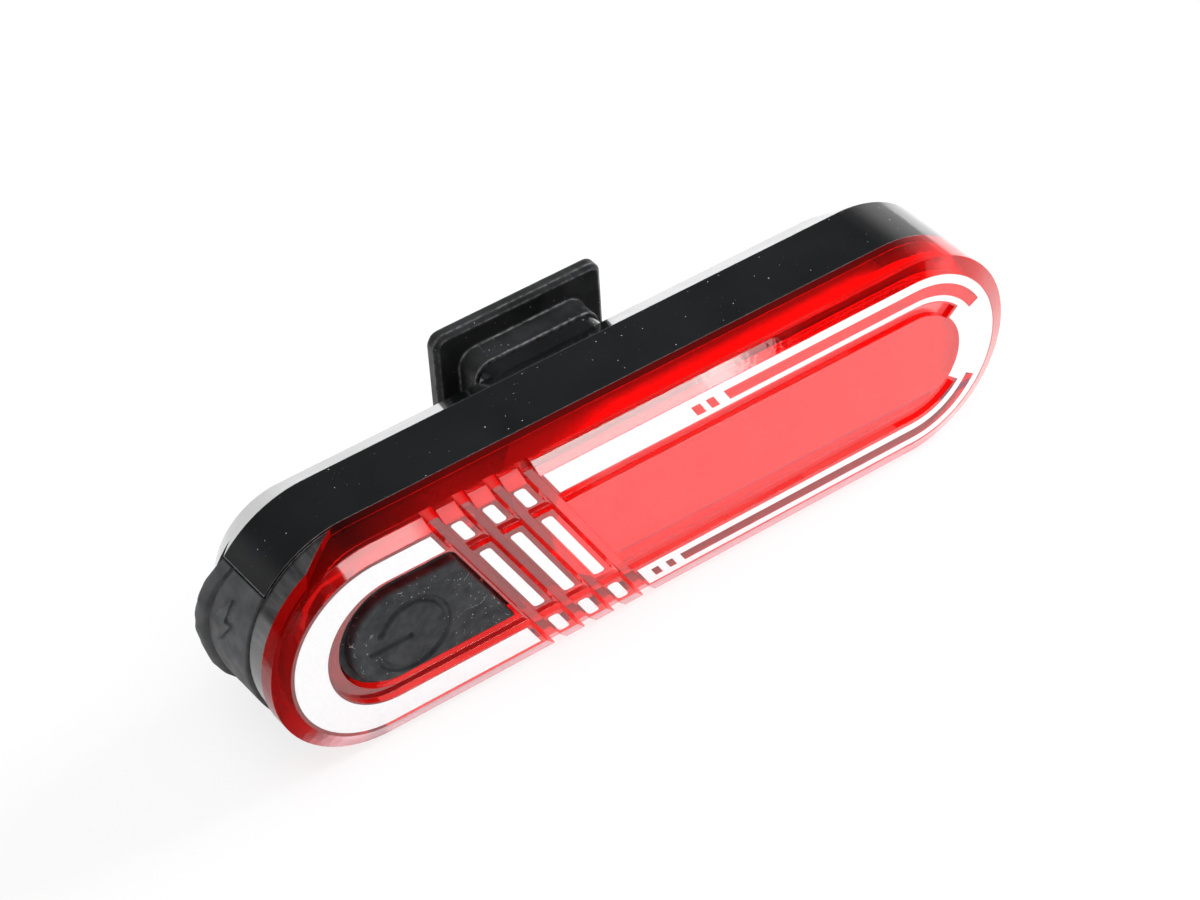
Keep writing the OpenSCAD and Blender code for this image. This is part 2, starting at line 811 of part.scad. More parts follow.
module strap_bracket() {
    hole_r = bracket_screw_r + screw_gap;
    color([0.13, 0.13, 0.13]) place() difference() {
        union() {
            through(back_y + pedestal_d, plate_y + plate_t / 2) round_corners(block_l, block_h, block_r);
            hull() for (x = [-1, 1], z = [-1, 1]) {
                translate([x * (plate_l / 2 - plate_r), 0, z * (plate_h / 2 - plate_r)]) {
                    rod_y(plate_r, plate_r, plate_y + plate_edge, plate_y + plate_t - plate_edge, $fn = 32);
                    rod_y(plate_r - plate_edge, plate_r - plate_edge, plate_y, plate_y + plate_t, $fn = 32);
                }
            }
        }
        for (side = [-1, 1]) {
            translate([side * bracket_screw_pitch / 2, 0, 0])
                rod_y(hole_r, hole_r, back_y + pedestal_d - over, bracket_hole_end);
        }
    }
}

module bracket_screws() {
    color([0.6, 0.6, 0.62]) place() for (side = [-1, 1]) {
        translate([side * bracket_screw_pitch / 2, 0, 0]) {
            rod_y(bracket_head_r, bracket_screw_r, inner_back_y, inner_back_y + bracket_sink);
            rod_y(bracket_screw_r, bracket_screw_r, inner_back_y + bracket_sink / 2, bracket_screw_end);
        }
    }
}

housing();
lens();
lens_seal();
power_button();
switch_body();
switch_plunger();
main_board();
charging_chip();
inductor();
board_capacitors();
charge_indicator();
socket_shell();
socket_insert();
charging_cover();
battery_cell();
battery_tape();
battery_leads();
reflector();
strip_board();
light_strip();
board_screws();
strap_bracket();
bracket_screws();
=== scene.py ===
"""Bicycle rear light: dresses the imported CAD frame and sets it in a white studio.

Forms are drawn in millimetres from the light's own joint plane and middle line, as its mouldings are:
x from the middle of its length, y from the joint between housing and lens, and z from its middle line.
"""

import logging
import math
from dataclasses import dataclass, field
from enum import Enum
from functools import reduce

import bmesh
import bpy
from mathutils import Matrix, Vector, noise

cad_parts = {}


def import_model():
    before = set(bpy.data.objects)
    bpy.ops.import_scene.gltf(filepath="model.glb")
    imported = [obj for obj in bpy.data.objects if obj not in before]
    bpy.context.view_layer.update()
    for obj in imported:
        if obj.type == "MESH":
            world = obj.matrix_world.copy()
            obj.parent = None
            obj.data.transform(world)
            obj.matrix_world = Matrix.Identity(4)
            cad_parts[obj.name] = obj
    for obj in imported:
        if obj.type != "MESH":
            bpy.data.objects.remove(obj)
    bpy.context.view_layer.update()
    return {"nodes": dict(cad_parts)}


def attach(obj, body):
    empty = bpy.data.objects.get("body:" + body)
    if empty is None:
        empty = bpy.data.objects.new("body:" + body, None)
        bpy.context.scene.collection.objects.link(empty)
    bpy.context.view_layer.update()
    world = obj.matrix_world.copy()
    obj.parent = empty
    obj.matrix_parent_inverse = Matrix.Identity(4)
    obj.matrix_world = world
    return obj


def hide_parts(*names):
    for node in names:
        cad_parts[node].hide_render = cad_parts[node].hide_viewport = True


LOG = logging.getLogger("rear_light")

MM = 0.001
JOINT = Vector((0.35, -6.1, 10.3))
HALF_SPAN = 27.2
SLANT = math.tan(math.radians(29))
TOUCH = 1e-4
ROUND_STEPS = 64

Colour = tuple[float, float, float]
Socket = bpy.types.NodeSocket
Mesh = bmesh.types.BMesh
Vert = bmesh.types.BMVert
Edge = bmesh.types.BMEdge
Face = bmesh.types.BMFace

WHITE: Colour = (1, 1, 1)
ALONG: Colour = (1, 0, 0)
DEEP: Colour = (0, 1, 0)
FRONT: Colour = (0, -1, 0)
UP: Colour = (0, 0, 1)


class Body(Enum):
    """Bodies of the frame that new pieces ride on."""

    LIGHT = "light_body"
    BUTTON = "button"
    COVER = "cover"


class Graph:
    """Node tree of a material or of the world."""

    def __init__(self, owner: bpy.types.Material | bpy.types.World) -> None:
        """Starts with no nodes.

        Args:
            owner: Material or world that the nodes belong to.
        """
        owner.use_nodes = True
        self.nodes = owner.node_tree.nodes
        self.links = owner.node_tree.links
        self.nodes.clear()

    def feed(self, socket: Socket, value: float | Colour | Socket) -> None:
        """Gives a socket a plain value, a colour or what another socket gives."""
        if isinstance(value, Socket):
            self.links.new(value, socket)
        elif socket.type == "RGBA":
            socket.default_value = (*value, 1)
        else:
            socket.default_value = value

    def add(self, kind: str, **values: float | Colour | Socket) -> bpy.types.Node:
        """Adds a node.

        Args:
            kind: Kind of node, without the prefix that all kinds share.
            values: What its sockets get, by name, with underscores for spaces.

        Returns:
            The node.
        """
        node = self.nodes.new("ShaderNode" + kind)
        for name, value in values.items():
            self.feed(node.inputs[name.replace("_", " ")], value)
        return node

    def math(self, operation: str, first: Socket, second: float | Socket) -> Socket:
        """Combines two numbers and returns the result."""
        node = self.add("Math")
        node.operation = operation
        self.feed(node.inputs[0], first)
        self.feed(node.inputs[1], second)
        return node.outputs[0]

    def product(self, *values: float | Socket) -> Socket:
        """Product of several numbers, the first of them from a socket."""
        return reduce(lambda first, second: self.math("MULTIPLY", first, second), values)

    def largest(self, *values: Socket) -> Socket:
        """Largest of several numbers."""
        return reduce(lambda first, second: self.math("MAXIMUM", first, second), values)

    def spread(self, value: Socket, low: float, high: float, start: float = 0.35, end: float = 0.65,
               smooth: bool = False) -> Socket:
        """Maps a value from start..end onto low..high, straight or with soft ends, and returns the result."""
        node = self.add("MapRange", Value=value, From_Min=start, From_Max=end, To_Min=low, To_Max=high)
        node.interpolation_type = "SMOOTHSTEP" if smooth else "LINEAR"
        return node.outputs["Result"]

    def blend(self, share: Socket, first: Socket, second: Socket) -> Socket:
        """Mixes two shaders and returns the result."""
        node = self.add("MixShader")
        for socket, value in zip(node.inputs, (share, first, second)):
            self.feed(socket, value)
        return node.outputs["Shader"]

    def seen(self, camera: float, glossy: float, clear: float) -> Socket:
        """Weighs a ray by what it comes from.

        Args:
            camera: Weight of a ray from the camera.
            glossy: Weight of a ray off a glossy piece.
            clear: Weight of a ray through a clear piece.

        Returns:
            The weight, 0 for a ray that carries light to a matt piece.
        """
        path = self.add("LightPath").outputs
        weights = (("Camera", camera), ("Glossy", glossy), ("Transmission", clear))
        shares = [self.product(path[f"Is {name} Ray"], weight) for name, weight in weights]
        total = reduce(lambda first, second: self.math("ADD", first, second), shares)
        total.node.use_clamp = True
        return total


class Tree(Graph):
    """Nodes of one piece's material, with its shader and output in place."""

    def __init__(self, name: str) -> None:
        """Starts the material.

        Args:
            name: Name of the material.
        """
        self.material = bpy.data.materials.new(name)
        super().__init__(self.material)
        self.shader = self.add("BsdfPrincipled")
        self.output = self.add("OutputMaterial", Surface=self.shader.outputs["BSDF"])
        self.place = self.add("TexCoord").outputs["Object"]

    def set(self, **values: float | Colour | Socket) -> None:
        """Sets the shader's own sockets, with underscores for spaces."""
        for name, value in values.items():
            self.feed(self.shader.inputs[name.replace("_", " ")], value)

    def noise(self, grain: float, detail: float = 3.0, stretch: Colour = (1, 1, 1)) -> Socket:
        """Makes a mottle.

        Args:
            grain: Size of a patch in millimetres.
            detail: Octaves of finer mottle.
            stretch: How much longer a patch is along each axis.

        Returns:
            The mottle's value, about 0.3 to 0.7.
        """
        mapping = self.add("Mapping", Vector=self.place, Scale=tuple(1 / share for share in stretch))
        texture = self.add("TexNoise", Vector=mapping.outputs["Vector"], Scale=1 / (grain * MM), Detail=detail)
        return texture.outputs[0]

    def mix(self, share: Socket, low: Colour | Socket, high: Colour | Socket) -> Socket:
        """Mixes two colours, each plain or from a socket, and returns the result."""
        node = self.add("Mix")
        node.data_type = "RGBA"
        for number, value in ((0, share), (6, low), (7, high)):
            self.feed(node.inputs[number], value)
        return node.outputs[2]

    def measure(self, operation: str, first: Socket, second: Colour | Vector | Socket) -> Socket:
        """Number made of two vectors, such as their dot product or their distance."""
        node = self.add("VectorMath")
        node.operation = operation
        self.feed(node.inputs[0], first)
        self.feed(node.inputs[1], second)
        return node.outputs["Value"]

    def normal(self) -> Socket:
        """Normal of the surface itself, without easing or bump."""
        return self.add("NewGeometry").outputs["True Normal"]

    def facing(self, normal: Socket, direction: Colour, span: tuple[float, float], low: float = 0.0,
               high: float = 1.0) -> Socket:
        """Spreads a value over how squarely a surface faces a direction."""
        return self.spread(self.measure("DOT_PRODUCT", normal, direction), low, high, *span)

    def reach(self, direction: Colour, span: tuple[float, float], low: float, high: float) -> Socket:
        """Spreads a value over a span in a direction.

        Args:
            direction: Direction in which the span runs.
            span: Its start and end in millimetres from the joint.
            low: Value at its start.
            high: Value at its end.

        Returns:
            The value, held at both ends.
        """
        start, end = ((JOINT.dot(Vector(direction)) + value) * MM for value in span)
        return self.spread(self.measure("DOT_PRODUCT", self.place, direction), low, high, start, end)

    def specks(self, cell: float, size: float, share: float) -> Socket:
        """Scatters small grains of dust.

        Args:
            cell: Mean distance between possible grains, in millimetres.
            size: Largest radius of a grain, in millimetres.
            share: Share of the possible grains that are there.

        Returns:
            Mask, 1 on a grain.
        """
        texture = self.add("TexVoronoi", Vector=self.place, Scale=1 / (cell * MM)).outputs
        split = self.add("SeparateColor", Color=texture["Color"]).outputs
        inside = self.math("LESS_THAN", texture["Distance"], self.product(split[0], size / cell))
        return self.product(inside, self.math("LESS_THAN", split[1], share))

    def beyond(self, centre: Colour, radius: float, soft: float) -> Socket:
        """Mask of everything beyond a distance from a point, all in millimetres from the joint."""
        distance = self.measure("DISTANCE", self.place, (Vector(centre) + JOINT) * MM)
        return self.spread(distance, 0, 1, (radius - soft) * MM, radius * MM)

    def lint(self, grain: float, width: float) -> Socket:
        """Scatters short curled fibres.

        Args:
            grain: Size of a curl in millimetres.
            width: Half width of a fibre, as a share of the mottle that it follows.

        Returns:
            Mask, 1 on a fibre.
        """
        line = self.math("ABSOLUTE", self.math("SUBTRACT", self.noise(grain, 0), 0.5), 0)
        short = self.math("GREATER_THAN", self.noise(grain * 0.6, 0, (1.3, 1, 1)), 0.6)
        return self.product(self.math("LESS_THAN", line, width), short)

    def rounded(self, radius: float) -> Socket:
        """Normal with sharp edges eased over the given radius in millimetres."""
        node = self.add("Bevel", Radius=radius * MM)
        node.samples = 6
        return node.outputs["Normal"]

    def edges(self, radius: float) -> Socket:
        """Mask of the band within the given radius of a sharp edge."""
        turned = self.measure("DOT_PRODUCT", self.rounded(radius), self.normal())
        return self.spread(turned, 1, 0, 0.8, 0.995)

    def relief(self, height: Socket, depth: float, base: Socket) -> None:
        """Raises the surface by a height map.

        Args:
            height: Map from 0 to 1.
            depth: Height in millimetres at 1.
            base: Normal to start from.
        """
        bump = self.add("Bump", Strength=1, Distance=depth * MM, Height=height, Normal=base)
        self.set(Normal=bump.outputs["Normal"])


@dataclass(frozen=True)
class Finish:
    """Finish of a moulded, plated or printed piece.

    Attributes:
        name: Name of the material.
        dark: Darker colour of the mottle.
        light: Lighter colour of the mottle.
        grain: Size of the mottle in millimetres.
        rough: Lowest and highest roughness.
        bump: Height of the surface's texture in millimetres.
        bump_grain: Size of that texture in millimetres.
        metallic: 1 for bare metal.
        ease: Radius in millimetres over which edges are eased.
        dust_and_sheen: Colour of the dust, also of the pale edges' painted highlight and of the rim's painted sheen.
        dust_cell: Mean distance between grains of dust.
        dust_size: Largest radius of a grain.
        dust_share: Share of the possible grains that are there.
        wear_and_highlight: How strongly edges are made pale, partly real wear and partly a painted edge highlight,
            from 0.
        wear_and_highlight_radius: Width of that pale band in millimetres.
        coat: Weight of a clear coat.
        transmission: Share of the light that passes through.
        ior: Refractive index.
        clean: Centre of a disc without dust, from the joint.
        clean_radius: Radius of that disc, 0 for none.
        lint: Half width of the fibres, 0 for none.
        specular: Strength of the surface's own sheen.
        rim_sheen: How strongly a painted sheen in the dust's colour lightens the rim at the charging end, from 0.
    """

    name: str
    dark: Colour
    light: Colour
    grain: float = 3.0
    rough: tuple[float, float] = (0.35, 0.5)
    bump: float = 0.01
    bump_grain: float = 0.2
    metallic: float = 0.0
    ease: float = 0.1
    dust_and_sheen: Colour = (0.55, 0.55, 0.55)
    dust_cell: float = 1.6
    dust_size: float = 0.1
    dust_share: float = 0.0
    wear_and_highlight: float = 0.0
    wear_and_highlight_radius: float = 0.35
    coat: float = 0.0
    transmission: float = 0.0
    ior: float = 1.5
    clean: Colour = (0.0, 0.0, 0.0)
    clean_radius: float = 0.0
    lint: float = 0.0
    specular: float = 0.5
    rim_sheen: float = 0.0

    def tree(self) -> Tree:
        """Builds the material's nodes."""
        tree = Tree(self.name)
        colour = tree.mix(tree.spread(tree.noise(self.grain), 0, 1), self.dark, self.light)
        # Pale patches in the dust's colour along every sharp edge: partly real wear, partly a painted edge
        # highlight.
        if self.wear_and_highlight:
            patches = tree.spread(tree.noise(0.5, 5), 0.15, self.wear_and_highlight, 0.38, 0.62)
            colour = tree.mix(tree.product(tree.edges(self.wear_and_highlight_radius), patches), colour, self.dust_and_sheen)
        # Painted sheen: streaks of the dust's colour lighten the rim at the charging end in place of a reflection.
        if self.rim_sheen:
            sheen_streaks = tree.spread(tree.noise(1.1, 5, (0.6, 3, 0.6)), 0.4, 1)
            rim = tree.product(tree.reach(DEEP, (-0.4, 0.0), self.rim_sheen, 0), tree.reach(ALONG, (-31, -27), 1, 0))
            colour = tree.mix(tree.product(rim, sheen_streaks), colour, self.dust_and_sheen)
        if self.dust_share:
            colour = tree.mix(self.dirt(tree), colour, self.dust_and_sheen)
        rough = tree.spread(tree.noise(self.grain * 0.7, 4), *self.rough)
        tree.relief(tree.noise(self.bump_grain, 2), self.bump, tree.rounded(self.ease))
        tree.set(Base_Color=colour, Roughness=rough, Metallic=self.metallic, Coat_Weight=self.coat,
                 Coat_Roughness=0.04, Transmission_Weight=self.transmission, IOR=self.ior,
                 Specular_IOR_Level=self.specular)
        return tree

    def dirt(self, tree: Tree) -> Socket:
        """Mask of the dust and lint, from coarse grains to fine ones."""
        mask = tree.specks(self.dust_cell, self.dust_size, self.dust_share)
        fine = tree.specks(self.dust_cell * 0.37, self.dust_size * 0.45, self.dust_share * 0.5)
        mask = tree.largest(mask, tree.product(fine, tree.spread(tree.noise(4, 2), 0, 0.8)))
        if self.lint:
            away = tree.beyond(self.clean, self.clean_radius + 1.8, 0.8)
            mask = tree.largest(mask, tree.product(tree.lint(0.9, self.lint), away))
        if self.clean_radius:
            mask = tree.product(mask, tree.beyond(self.clean, self.clean_radius, 0.4))
        return mask


@dataclass(frozen=True)
class ClearFinish(Finish):
    """Finish of a clear moulding, which lets tinted light onto what is behind it.

    Attributes:
        tint: Colour of the light after one surface.
        polish: Direction towards which the moulding is polished.
        glow: How much less clear the lower edge and the far end are, so that their diffuse red shows as a painted
            glow in place of the light they gather.
        matt: Colour of the matt floors of the long channels.
        deep: Painted shade: darker red mixed into the button end, which has nothing bright behind it.
        dull_ior: Refractive index where the moulding has little sheen.
        bevel: Outward direction of the upper bevel.
        bevel_reach: Reach of the notches and of the bevel itself in that direction.
        lower_bevel: Outward direction of the lower bevel.
        edge: Pale pink mixed into the lower bevel, a painted reflection of the bright floor.
        seam: Colour of the faint lines in the window.
        seam_lean: Direction across the line over the reflector's edge, which leans a little.
    """

    tint: Colour = (0.97, 0.1, 0.08)
    polish: Colour = (0.85, 0.0, -0.5)
    glow: float = 0.35
    matt: Colour = (0.95, 0.17, 0.17)
    deep: Colour = (0.22, 0.001, 0.001)
    dull_ior: float = 1.12
    bevel: Colour = (0.0, -0.913, 0.408)
    bevel_reach: tuple[float, float] = (7.05, 7.42)
    lower_bevel: Colour = (0.0, -0.913, -0.408)
    edge: Colour = (0.95, 0.5, 0.56)
    seam: Colour = (0.2, 0.02, 0.08)
    seam_lean: Colour = (0.019, 0.0, 1.0)

    def tree(self) -> Tree:
        """Builds the material's nodes, with light on its way to another piece passing straight through."""
        tree = super().tree()
        normal = tree.normal()
        front = tree.facing(normal, FRONT, (0.96, 0.99))
        lower = tree.facing(normal, self.lower_bevel, (0.93, 0.98))
        matt = tree.product(front, tree.reach(DEEP, (-3.95, -3.85), 0, 1), tree.reach(DEEP, (-3.62, -3.55), 1, 0),
                            tree.reach(ALONG, (-9, -5), 0.25, 1))
        seam = self.seams(tree, front)
        colour = tree.shader.inputs["Base Color"].links[0].from_socket
        # Painted shade: the red darkens towards the button end, which has nothing bright behind it.
        colour = tree.mix(tree.reach(ALONG, (-35, -25), 0.7, 0), colour, self.deep)
        # The lower bevel takes the pale pink of a painted floor reflection.
        for share, shade in ((lower, self.edge), (seam, self.seam), (matt, self.matt)):
            colour = tree.mix(share, colour, shade)
        # Clouding lets these colours show as diffuse colour: on the lower bevel it carries the painted floor
        # reflection, and the gathered share is a painted glow.
        shares = ((matt, 0.7), (self.button_bevel(tree, normal), 0.42), (lower, 0.5), (seam, 0.45))
        clouded = tree.largest(self.gathered(tree), *(tree.product(*share) for share in shares))
        tree.set(Base_Color=colour, IOR=self.index(tree, normal, front),
                 Coat_Weight=tree.facing(normal, self.polish, (-0.2, -0.05), 0, self.coat),
                 Transmission_Weight=tree.math("SUBTRACT", self.clearness(tree), clouded))
        clear = tree.add("BsdfTransparent", Color=self.tint)
        shadow = tree.add("LightPath").outputs["Is Shadow Ray"]
        mixed = tree.blend(shadow, tree.shader.outputs["BSDF"], clear.outputs["BSDF"])
        tree.feed(tree.output.inputs["Surface"], mixed)
        return tree

    def clearness(self, tree: Tree) -> Socket:
        """Share of the light that passes, most round the button and less in the end wall."""
        return tree.product(tree.reach(ALONG, (-36, -28), 0.7, 1),
                            tree.reach(ALONG, (-31, -18), 1, self.transmission))

    def button_bevel(self, tree: Tree, normal: Socket) -> Socket:
        """Mask of the upper bevel beside the button and the pads."""
        return tree.product(tree.facing(normal, self.bevel, (0.97, 0.995)), tree.reach(ALONG, (-13, -12), 1, 0))

    def pane(self, tree: Tree, front: Socket) -> Socket:
        """Mask of the window's face."""
        return tree.product(front, tree.reach(DEEP, (-4.2, -4.1), 1, 0), tree.reach(ALONG, (-4.6, -4.2), 0, 1),
                            tree.reach(UP, (-5.6, -5.4), 0, 1))

    def seams(self, tree: Tree, front: Socket) -> Socket:
        """Mask of the faint lines in the window, over the reflector's edge and along the lower rim."""
        line = tree.product(tree.reach(self.seam_lean, (-3.55, -3.47), 0, 1),
                            tree.reach(self.seam_lean, (-3.43, -3.35), 1, 0))
        return tree.product(self.pane(tree, front), tree.largest(line, tree.reach(UP, (-4.83, -4.74), 1, 0)))

    def gathered(self, tree: Tree) -> Socket:
        """How much less passes along the lower edge and round the far end, where the diffuse red then shows as a
        painted glow.
        """
        lower = tree.product(tree.reach(UP, (-8.6, -6.6), self.glow, 0), tree.reach(ALONG, (-31, -26), 0, 1))
        return tree.largest(lower, tree.reach(ALONG, (29, 34), 0, self.glow))

    def index(self, tree: Tree, normal: Socket, front: Socket) -> Socket:
        """Builds the refractive index, which is low where the moulding has little sheen.

        Args:
            tree: Nodes of the material.
            normal: Normal of the surface.
            front: Mask of what faces the front.

        Returns:
            The index, low in the upper bevel's notches, on the button end's bevel and low in the window.
        """
        notch = tree.product(tree.facing(normal, UP, (0.2, 0.3)), tree.facing(normal, UP, (0.9, 0.98), 1, 0.5),
                             tree.reach(self.bevel, self.bevel_reach, 1, 0))
        end = tree.product(tree.facing(normal, (-1, 0, 0), (0.15, 0.35)), tree.facing(normal, FRONT, (0.5, 0.7)))
        pads = tree.product(self.button_bevel(tree, normal), tree.reach(ALONG, (-23.5, -22), 0.3, 0.75))
        low = tree.product(self.pane(tree, front), tree.reach(self.seam_lean, (-3.6, -3.4), 0.45, 0))
        return tree.spread(tree.largest(notch, end, pads, low), self.ior, self.dull_ior, 0, 1)


class Finishes:
    """Finishes of the light, by what they are on."""

    # The housing's pale edges are partly a painted highlight, and its lightened rim at the charging end is a painted
    # reflection.
    HOUSING = Finish("satin_black", (0.003, 0.0035, 0.004), (0.007, 0.008, 0.009), 9.0, (0.14, 0.22), 0.003, 0.12,
                     ease=0.15, dust_and_sheen=(0.42, 0.42, 0.43), dust_cell=0.7, dust_size=0.06, dust_share=0.65, wear_and_highlight=0.5,
                     wear_and_highlight_radius=0.14, coat=0.7, rim_sheen=0.17)
    LENS = ClearFinish("clear_red", (0.95, 0.006, 0.005), (1.0, 0.012, 0.01), 6.0, (0.02, 0.06), 0.002, 0.6,
                       ease=0.12, coat=1.0, transmission=0.91, ior=1.52)
    PRINT = Finish("white_print", (0.87, 0.87, 0.88), (0.9, 0.9, 0.91), 0.4, (0.35, 0.5), 0.004, 0.1,
                   dust_and_sheen=(0.2, 0.19, 0.2), dust_cell=2.6, dust_size=0.09, dust_share=0.2)
    BUTTON = Finish("button_rubber", (0.019, 0.021, 0.023), (0.036, 0.039, 0.042), 1.2, (0.5, 0.7), 0.03, 0.16,
                    dust_and_sheen=(0.3, 0.31, 0.31), dust_cell=0.42, dust_size=0.065, dust_share=0.6,
                    clean=(-24.52, -4.2, -0.65), clean_radius=3.1, lint=0.006, specular=0.2)
    COVER = Finish("cover_rubber", (0.05, 0.052, 0.055), (0.085, 0.088, 0.092), 1.8, (0.5, 0.7), 0.015, 0.15,
                   dust_cell=0.9, dust_size=0.05, dust_share=0.3)
    # The bracket's pale edges are partly a painted highlight.
    BRACKET = Finish("bracket_plastic", (0.008, 0.009, 0.009), (0.02, 0.021, 0.022), 2.0, (0.4, 0.6), 0.012, 0.18,
                     ease=0.2, dust_and_sheen=(0.42, 0.42, 0.43), dust_cell=0.5, dust_size=0.055, dust_share=0.6, wear_and_highlight=0.8,
                     wear_and_highlight_radius=0.45)
    SEAL = Finish("seal_rubber", (0.02, 0.02, 0.02), (0.04, 0.04, 0.04), 1.5, (0.6, 0.8))
    SWITCH = Finish("switch_plastic", (0.03, 0.03, 0.033), (0.05, 0.05, 0.054), 1.5, (0.4, 0.6))
    PLUNGER = Finish("plunger_plastic", (0.4, 0.04, 0.03), (0.52, 0.07, 0.05), 1.5, (0.4, 0.6))
    BOARD = Finish("board_mask", (0.008, 0.1, 0.04), (0.014, 0.15, 0.06), 1.2, (0.25, 0.4))
    CHIP = Finish("chip_resin", (0.015, 0.015, 0.016), (0.03, 0.03, 0.03), 0.8, (0.5, 0.65))
    FERRITE = Finish("ferrite", (0.09, 0.09, 0.1), (0.15, 0.15, 0.16), 0.6, (0.5, 0.7))
    CERAMIC = Finish("capacitor_ceramic", (0.4, 0.27, 0.13), (0.5, 0.34, 0.18), 0.5, (0.35, 0.5))
    INDICATOR = Finish("indicator_resin", (0.8, 0.8, 0.62), (0.95, 0.95, 0.8), 0.5, (0.1, 0.2))
    STEEL = Finish("plated_steel", (0.5, 0.5, 0.52), (0.66, 0.66, 0.68), 0.8, (0.22, 0.38), 0.003, 0.1, 1.0)
    SOCKET = Finish("socket_plastic", (0.02, 0.02, 0.02), (0.04, 0.04, 0.04), 0.8, (0.4, 0.6))
    FOIL = Finish("cell_foil", (0.45, 0.47, 0.5), (0.62, 0.64, 0.67), 2.5, (0.3, 0.45), 0.01, 0.5, 0.8)
    FOAM = Finish("tape_foam", (0.6, 0.6, 0.55), (0.75, 0.75, 0.7), 0.5, (0.8, 0.95), 0.05, 0.2)
    WIRE = Finish("wire_insulation", (0.42, 0.02, 0.02), (0.55, 0.04, 0.03), 0.8, (0.3, 0.45))
    REFLECTOR = Finish("reflector_white", (0.88, 0.88, 0.87), (0.95, 0.95, 0.94), 2.0, (0.35, 0.5))
    STRIP_BOARD = Finish("strip_mask", (0.8, 0.8, 0.78), (0.9, 0.9, 0.88), 1.0, (0.3, 0.45))
    PHOSPHOR = Finish("strip_phosphor", (0.85, 0.6, 0.15), (0.95, 0.75, 0.25), 0.6, (0.3, 0.5))


NODE_FINISHES: dict[str, Finish] = {
    "housing": Finishes.HOUSING,
    "lens": Finishes.LENS,
    "lens_seal": Finishes.SEAL,
    "power_button": Finishes.BUTTON,
    "switch_body": Finishes.SWITCH,
    "switch_plunger": Finishes.PLUNGER,
    "main_board": Finishes.BOARD,
    "charging_chip": Finishes.CHIP,
    "inductor": Finishes.FERRITE,
    "board_capacitors": Finishes.CERAMIC,
    "charge_indicator": Finishes.INDICATOR,
    "socket_shell": Finishes.STEEL,
    "socket_insert": Finishes.SOCKET,
    "charging_cover": Finishes.COVER,
    "battery_cell": Finishes.FOIL,
    "battery_tape": Finishes.FOAM,
    "battery_leads": Finishes.WIRE,
    "reflector": Finishes.REFLECTOR,
    "strip_board": Finishes.STRIP_BOARD,
    "light_strip": Finishes.PHOSPHOR,
    "board_screws": Finishes.STEEL,
    "strap_bracket": Finishes.BRACKET,
    "bracket_screws": Finishes.STEEL,
}


class Workshop:
    """Makes each finish's material once and turns bmeshes into pieces of the light."""

    def __init__(self) -> None:
        """Starts with no materials made."""
        self.made: dict[str, bpy.types.Material] = {}

    def material(self, finish: Finish) -> bpy.types.Material:
        """Material of a finish, made the first time it is asked for."""
        if finish.name not in self.made:
            self.made[finish.name] = finish.tree().material
        return self.made[finish.name]

    def dress(self, node: bpy.types.Object, finish: Finish) -> None:
        """Gives a CAD node its finish.

        Args:
            node: The node's object.
            finish: Its finish.
        """
        if not node.material_slots:
            node.data.materials.append(None)
        for slot in node.material_slots:
            slot.material = self.material(finish)

    def piece(self, name: str, mesh: Mesh, finish: Finish, body: Body,
              smooth: float = 40.0) -> bpy.types.Object:
        """Turns a bmesh drawn in millimetres from the joint into a piece that rides on a body.

        Args:
            name: Name of the piece.
            mesh: The bmesh, which is freed.
            finish: Finish of the piece.
            body: Body that the piece rides on.
            smooth: Edges that turn by less than this angle, in degrees, are shaded smooth.

        Returns:
            The piece's object.
        """
        bmesh.ops.remove_doubles(mesh, verts=mesh.verts, dist=TOUCH)
        bmesh.ops.recalc_face_normals(mesh, faces=mesh.faces)
        for face in mesh.faces:
            face.smooth = True
        for edge in mesh.edges:
            edge.smooth = len(edge.link_faces) == 2 and edge.calc_face_angle(0.0) < math.radians(smooth)
        mesh.transform(Matrix.Scale(MM, 4) @ Matrix.Translation(JOINT))
        data = bpy.data.meshes.new(name)
        mesh.to_mesh(data)
        mesh.free()
        data.materials.append(self.material(finish))
        made = bpy.data.objects.new(name, data)
        bpy.context.scene.collection.objects.link(made)
        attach(made, body.value)
        LOG.info("piece %s: %d faces on %s", name, len(data.polygons), body.value)
        return made


def only(kind: type, parts: list) -> list:
    """Those of an operator's results that are of one kind, such as its points."""
    return [part for part in parts if isinstance(part, kind)]


def thicken(mesh: Mesh, shift: Colour) -> None:
    """Makes a flat sheet solid, from where it lies to where the shift takes it."""
    grown = bmesh.ops.extrude_face_region(mesh, geom=list(mesh.faces), use_keep_orig=True)["geom"]
    bmesh.ops.translate(mesh, verts=only(Vert, grown), vec=shift)


def round_off(mesh: Mesh, parts: list[Vert] | list[Edge], radius: float, segments: int, affect: str) -> None:
    """Rounds points of a sheet or edges of a solid.

    Args:
        mesh: What they belong to.
        parts: The points or edges.
        radius: Size of the rounding in millimetres.
        segments: Number of its steps.
        affect: VERTICES or EDGES.
    """
    bmesh.ops.bevel(mesh, geom=parts, offset=radius, offset_type="OFFSET", segments=segments, profile=0.5,
                    affect=affect, material=-1)


def cut(mesh: Mesh, x: float, keep_right: bool | None = None) -> None:
    """Cuts a sheet along a line that leans with the pads.

    Args:
        mesh: Sheet in an X-Z plane.
        x: Where the line crosses the middle line.
        keep_right: Side that stays, or None to keep both.
    """
    away = Vector((-1, 0, -SLANT)) if keep_right else Vector((1, 0, SLANT))
    geometry = [*mesh.verts, *mesh.edges, *mesh.faces]
    bmesh.ops.bisect_plane(mesh, geom=geometry, dist=1e-5, plane_co=(x, 0, 0), plane_no=away,
                           clear_outer=keep_right is not None)


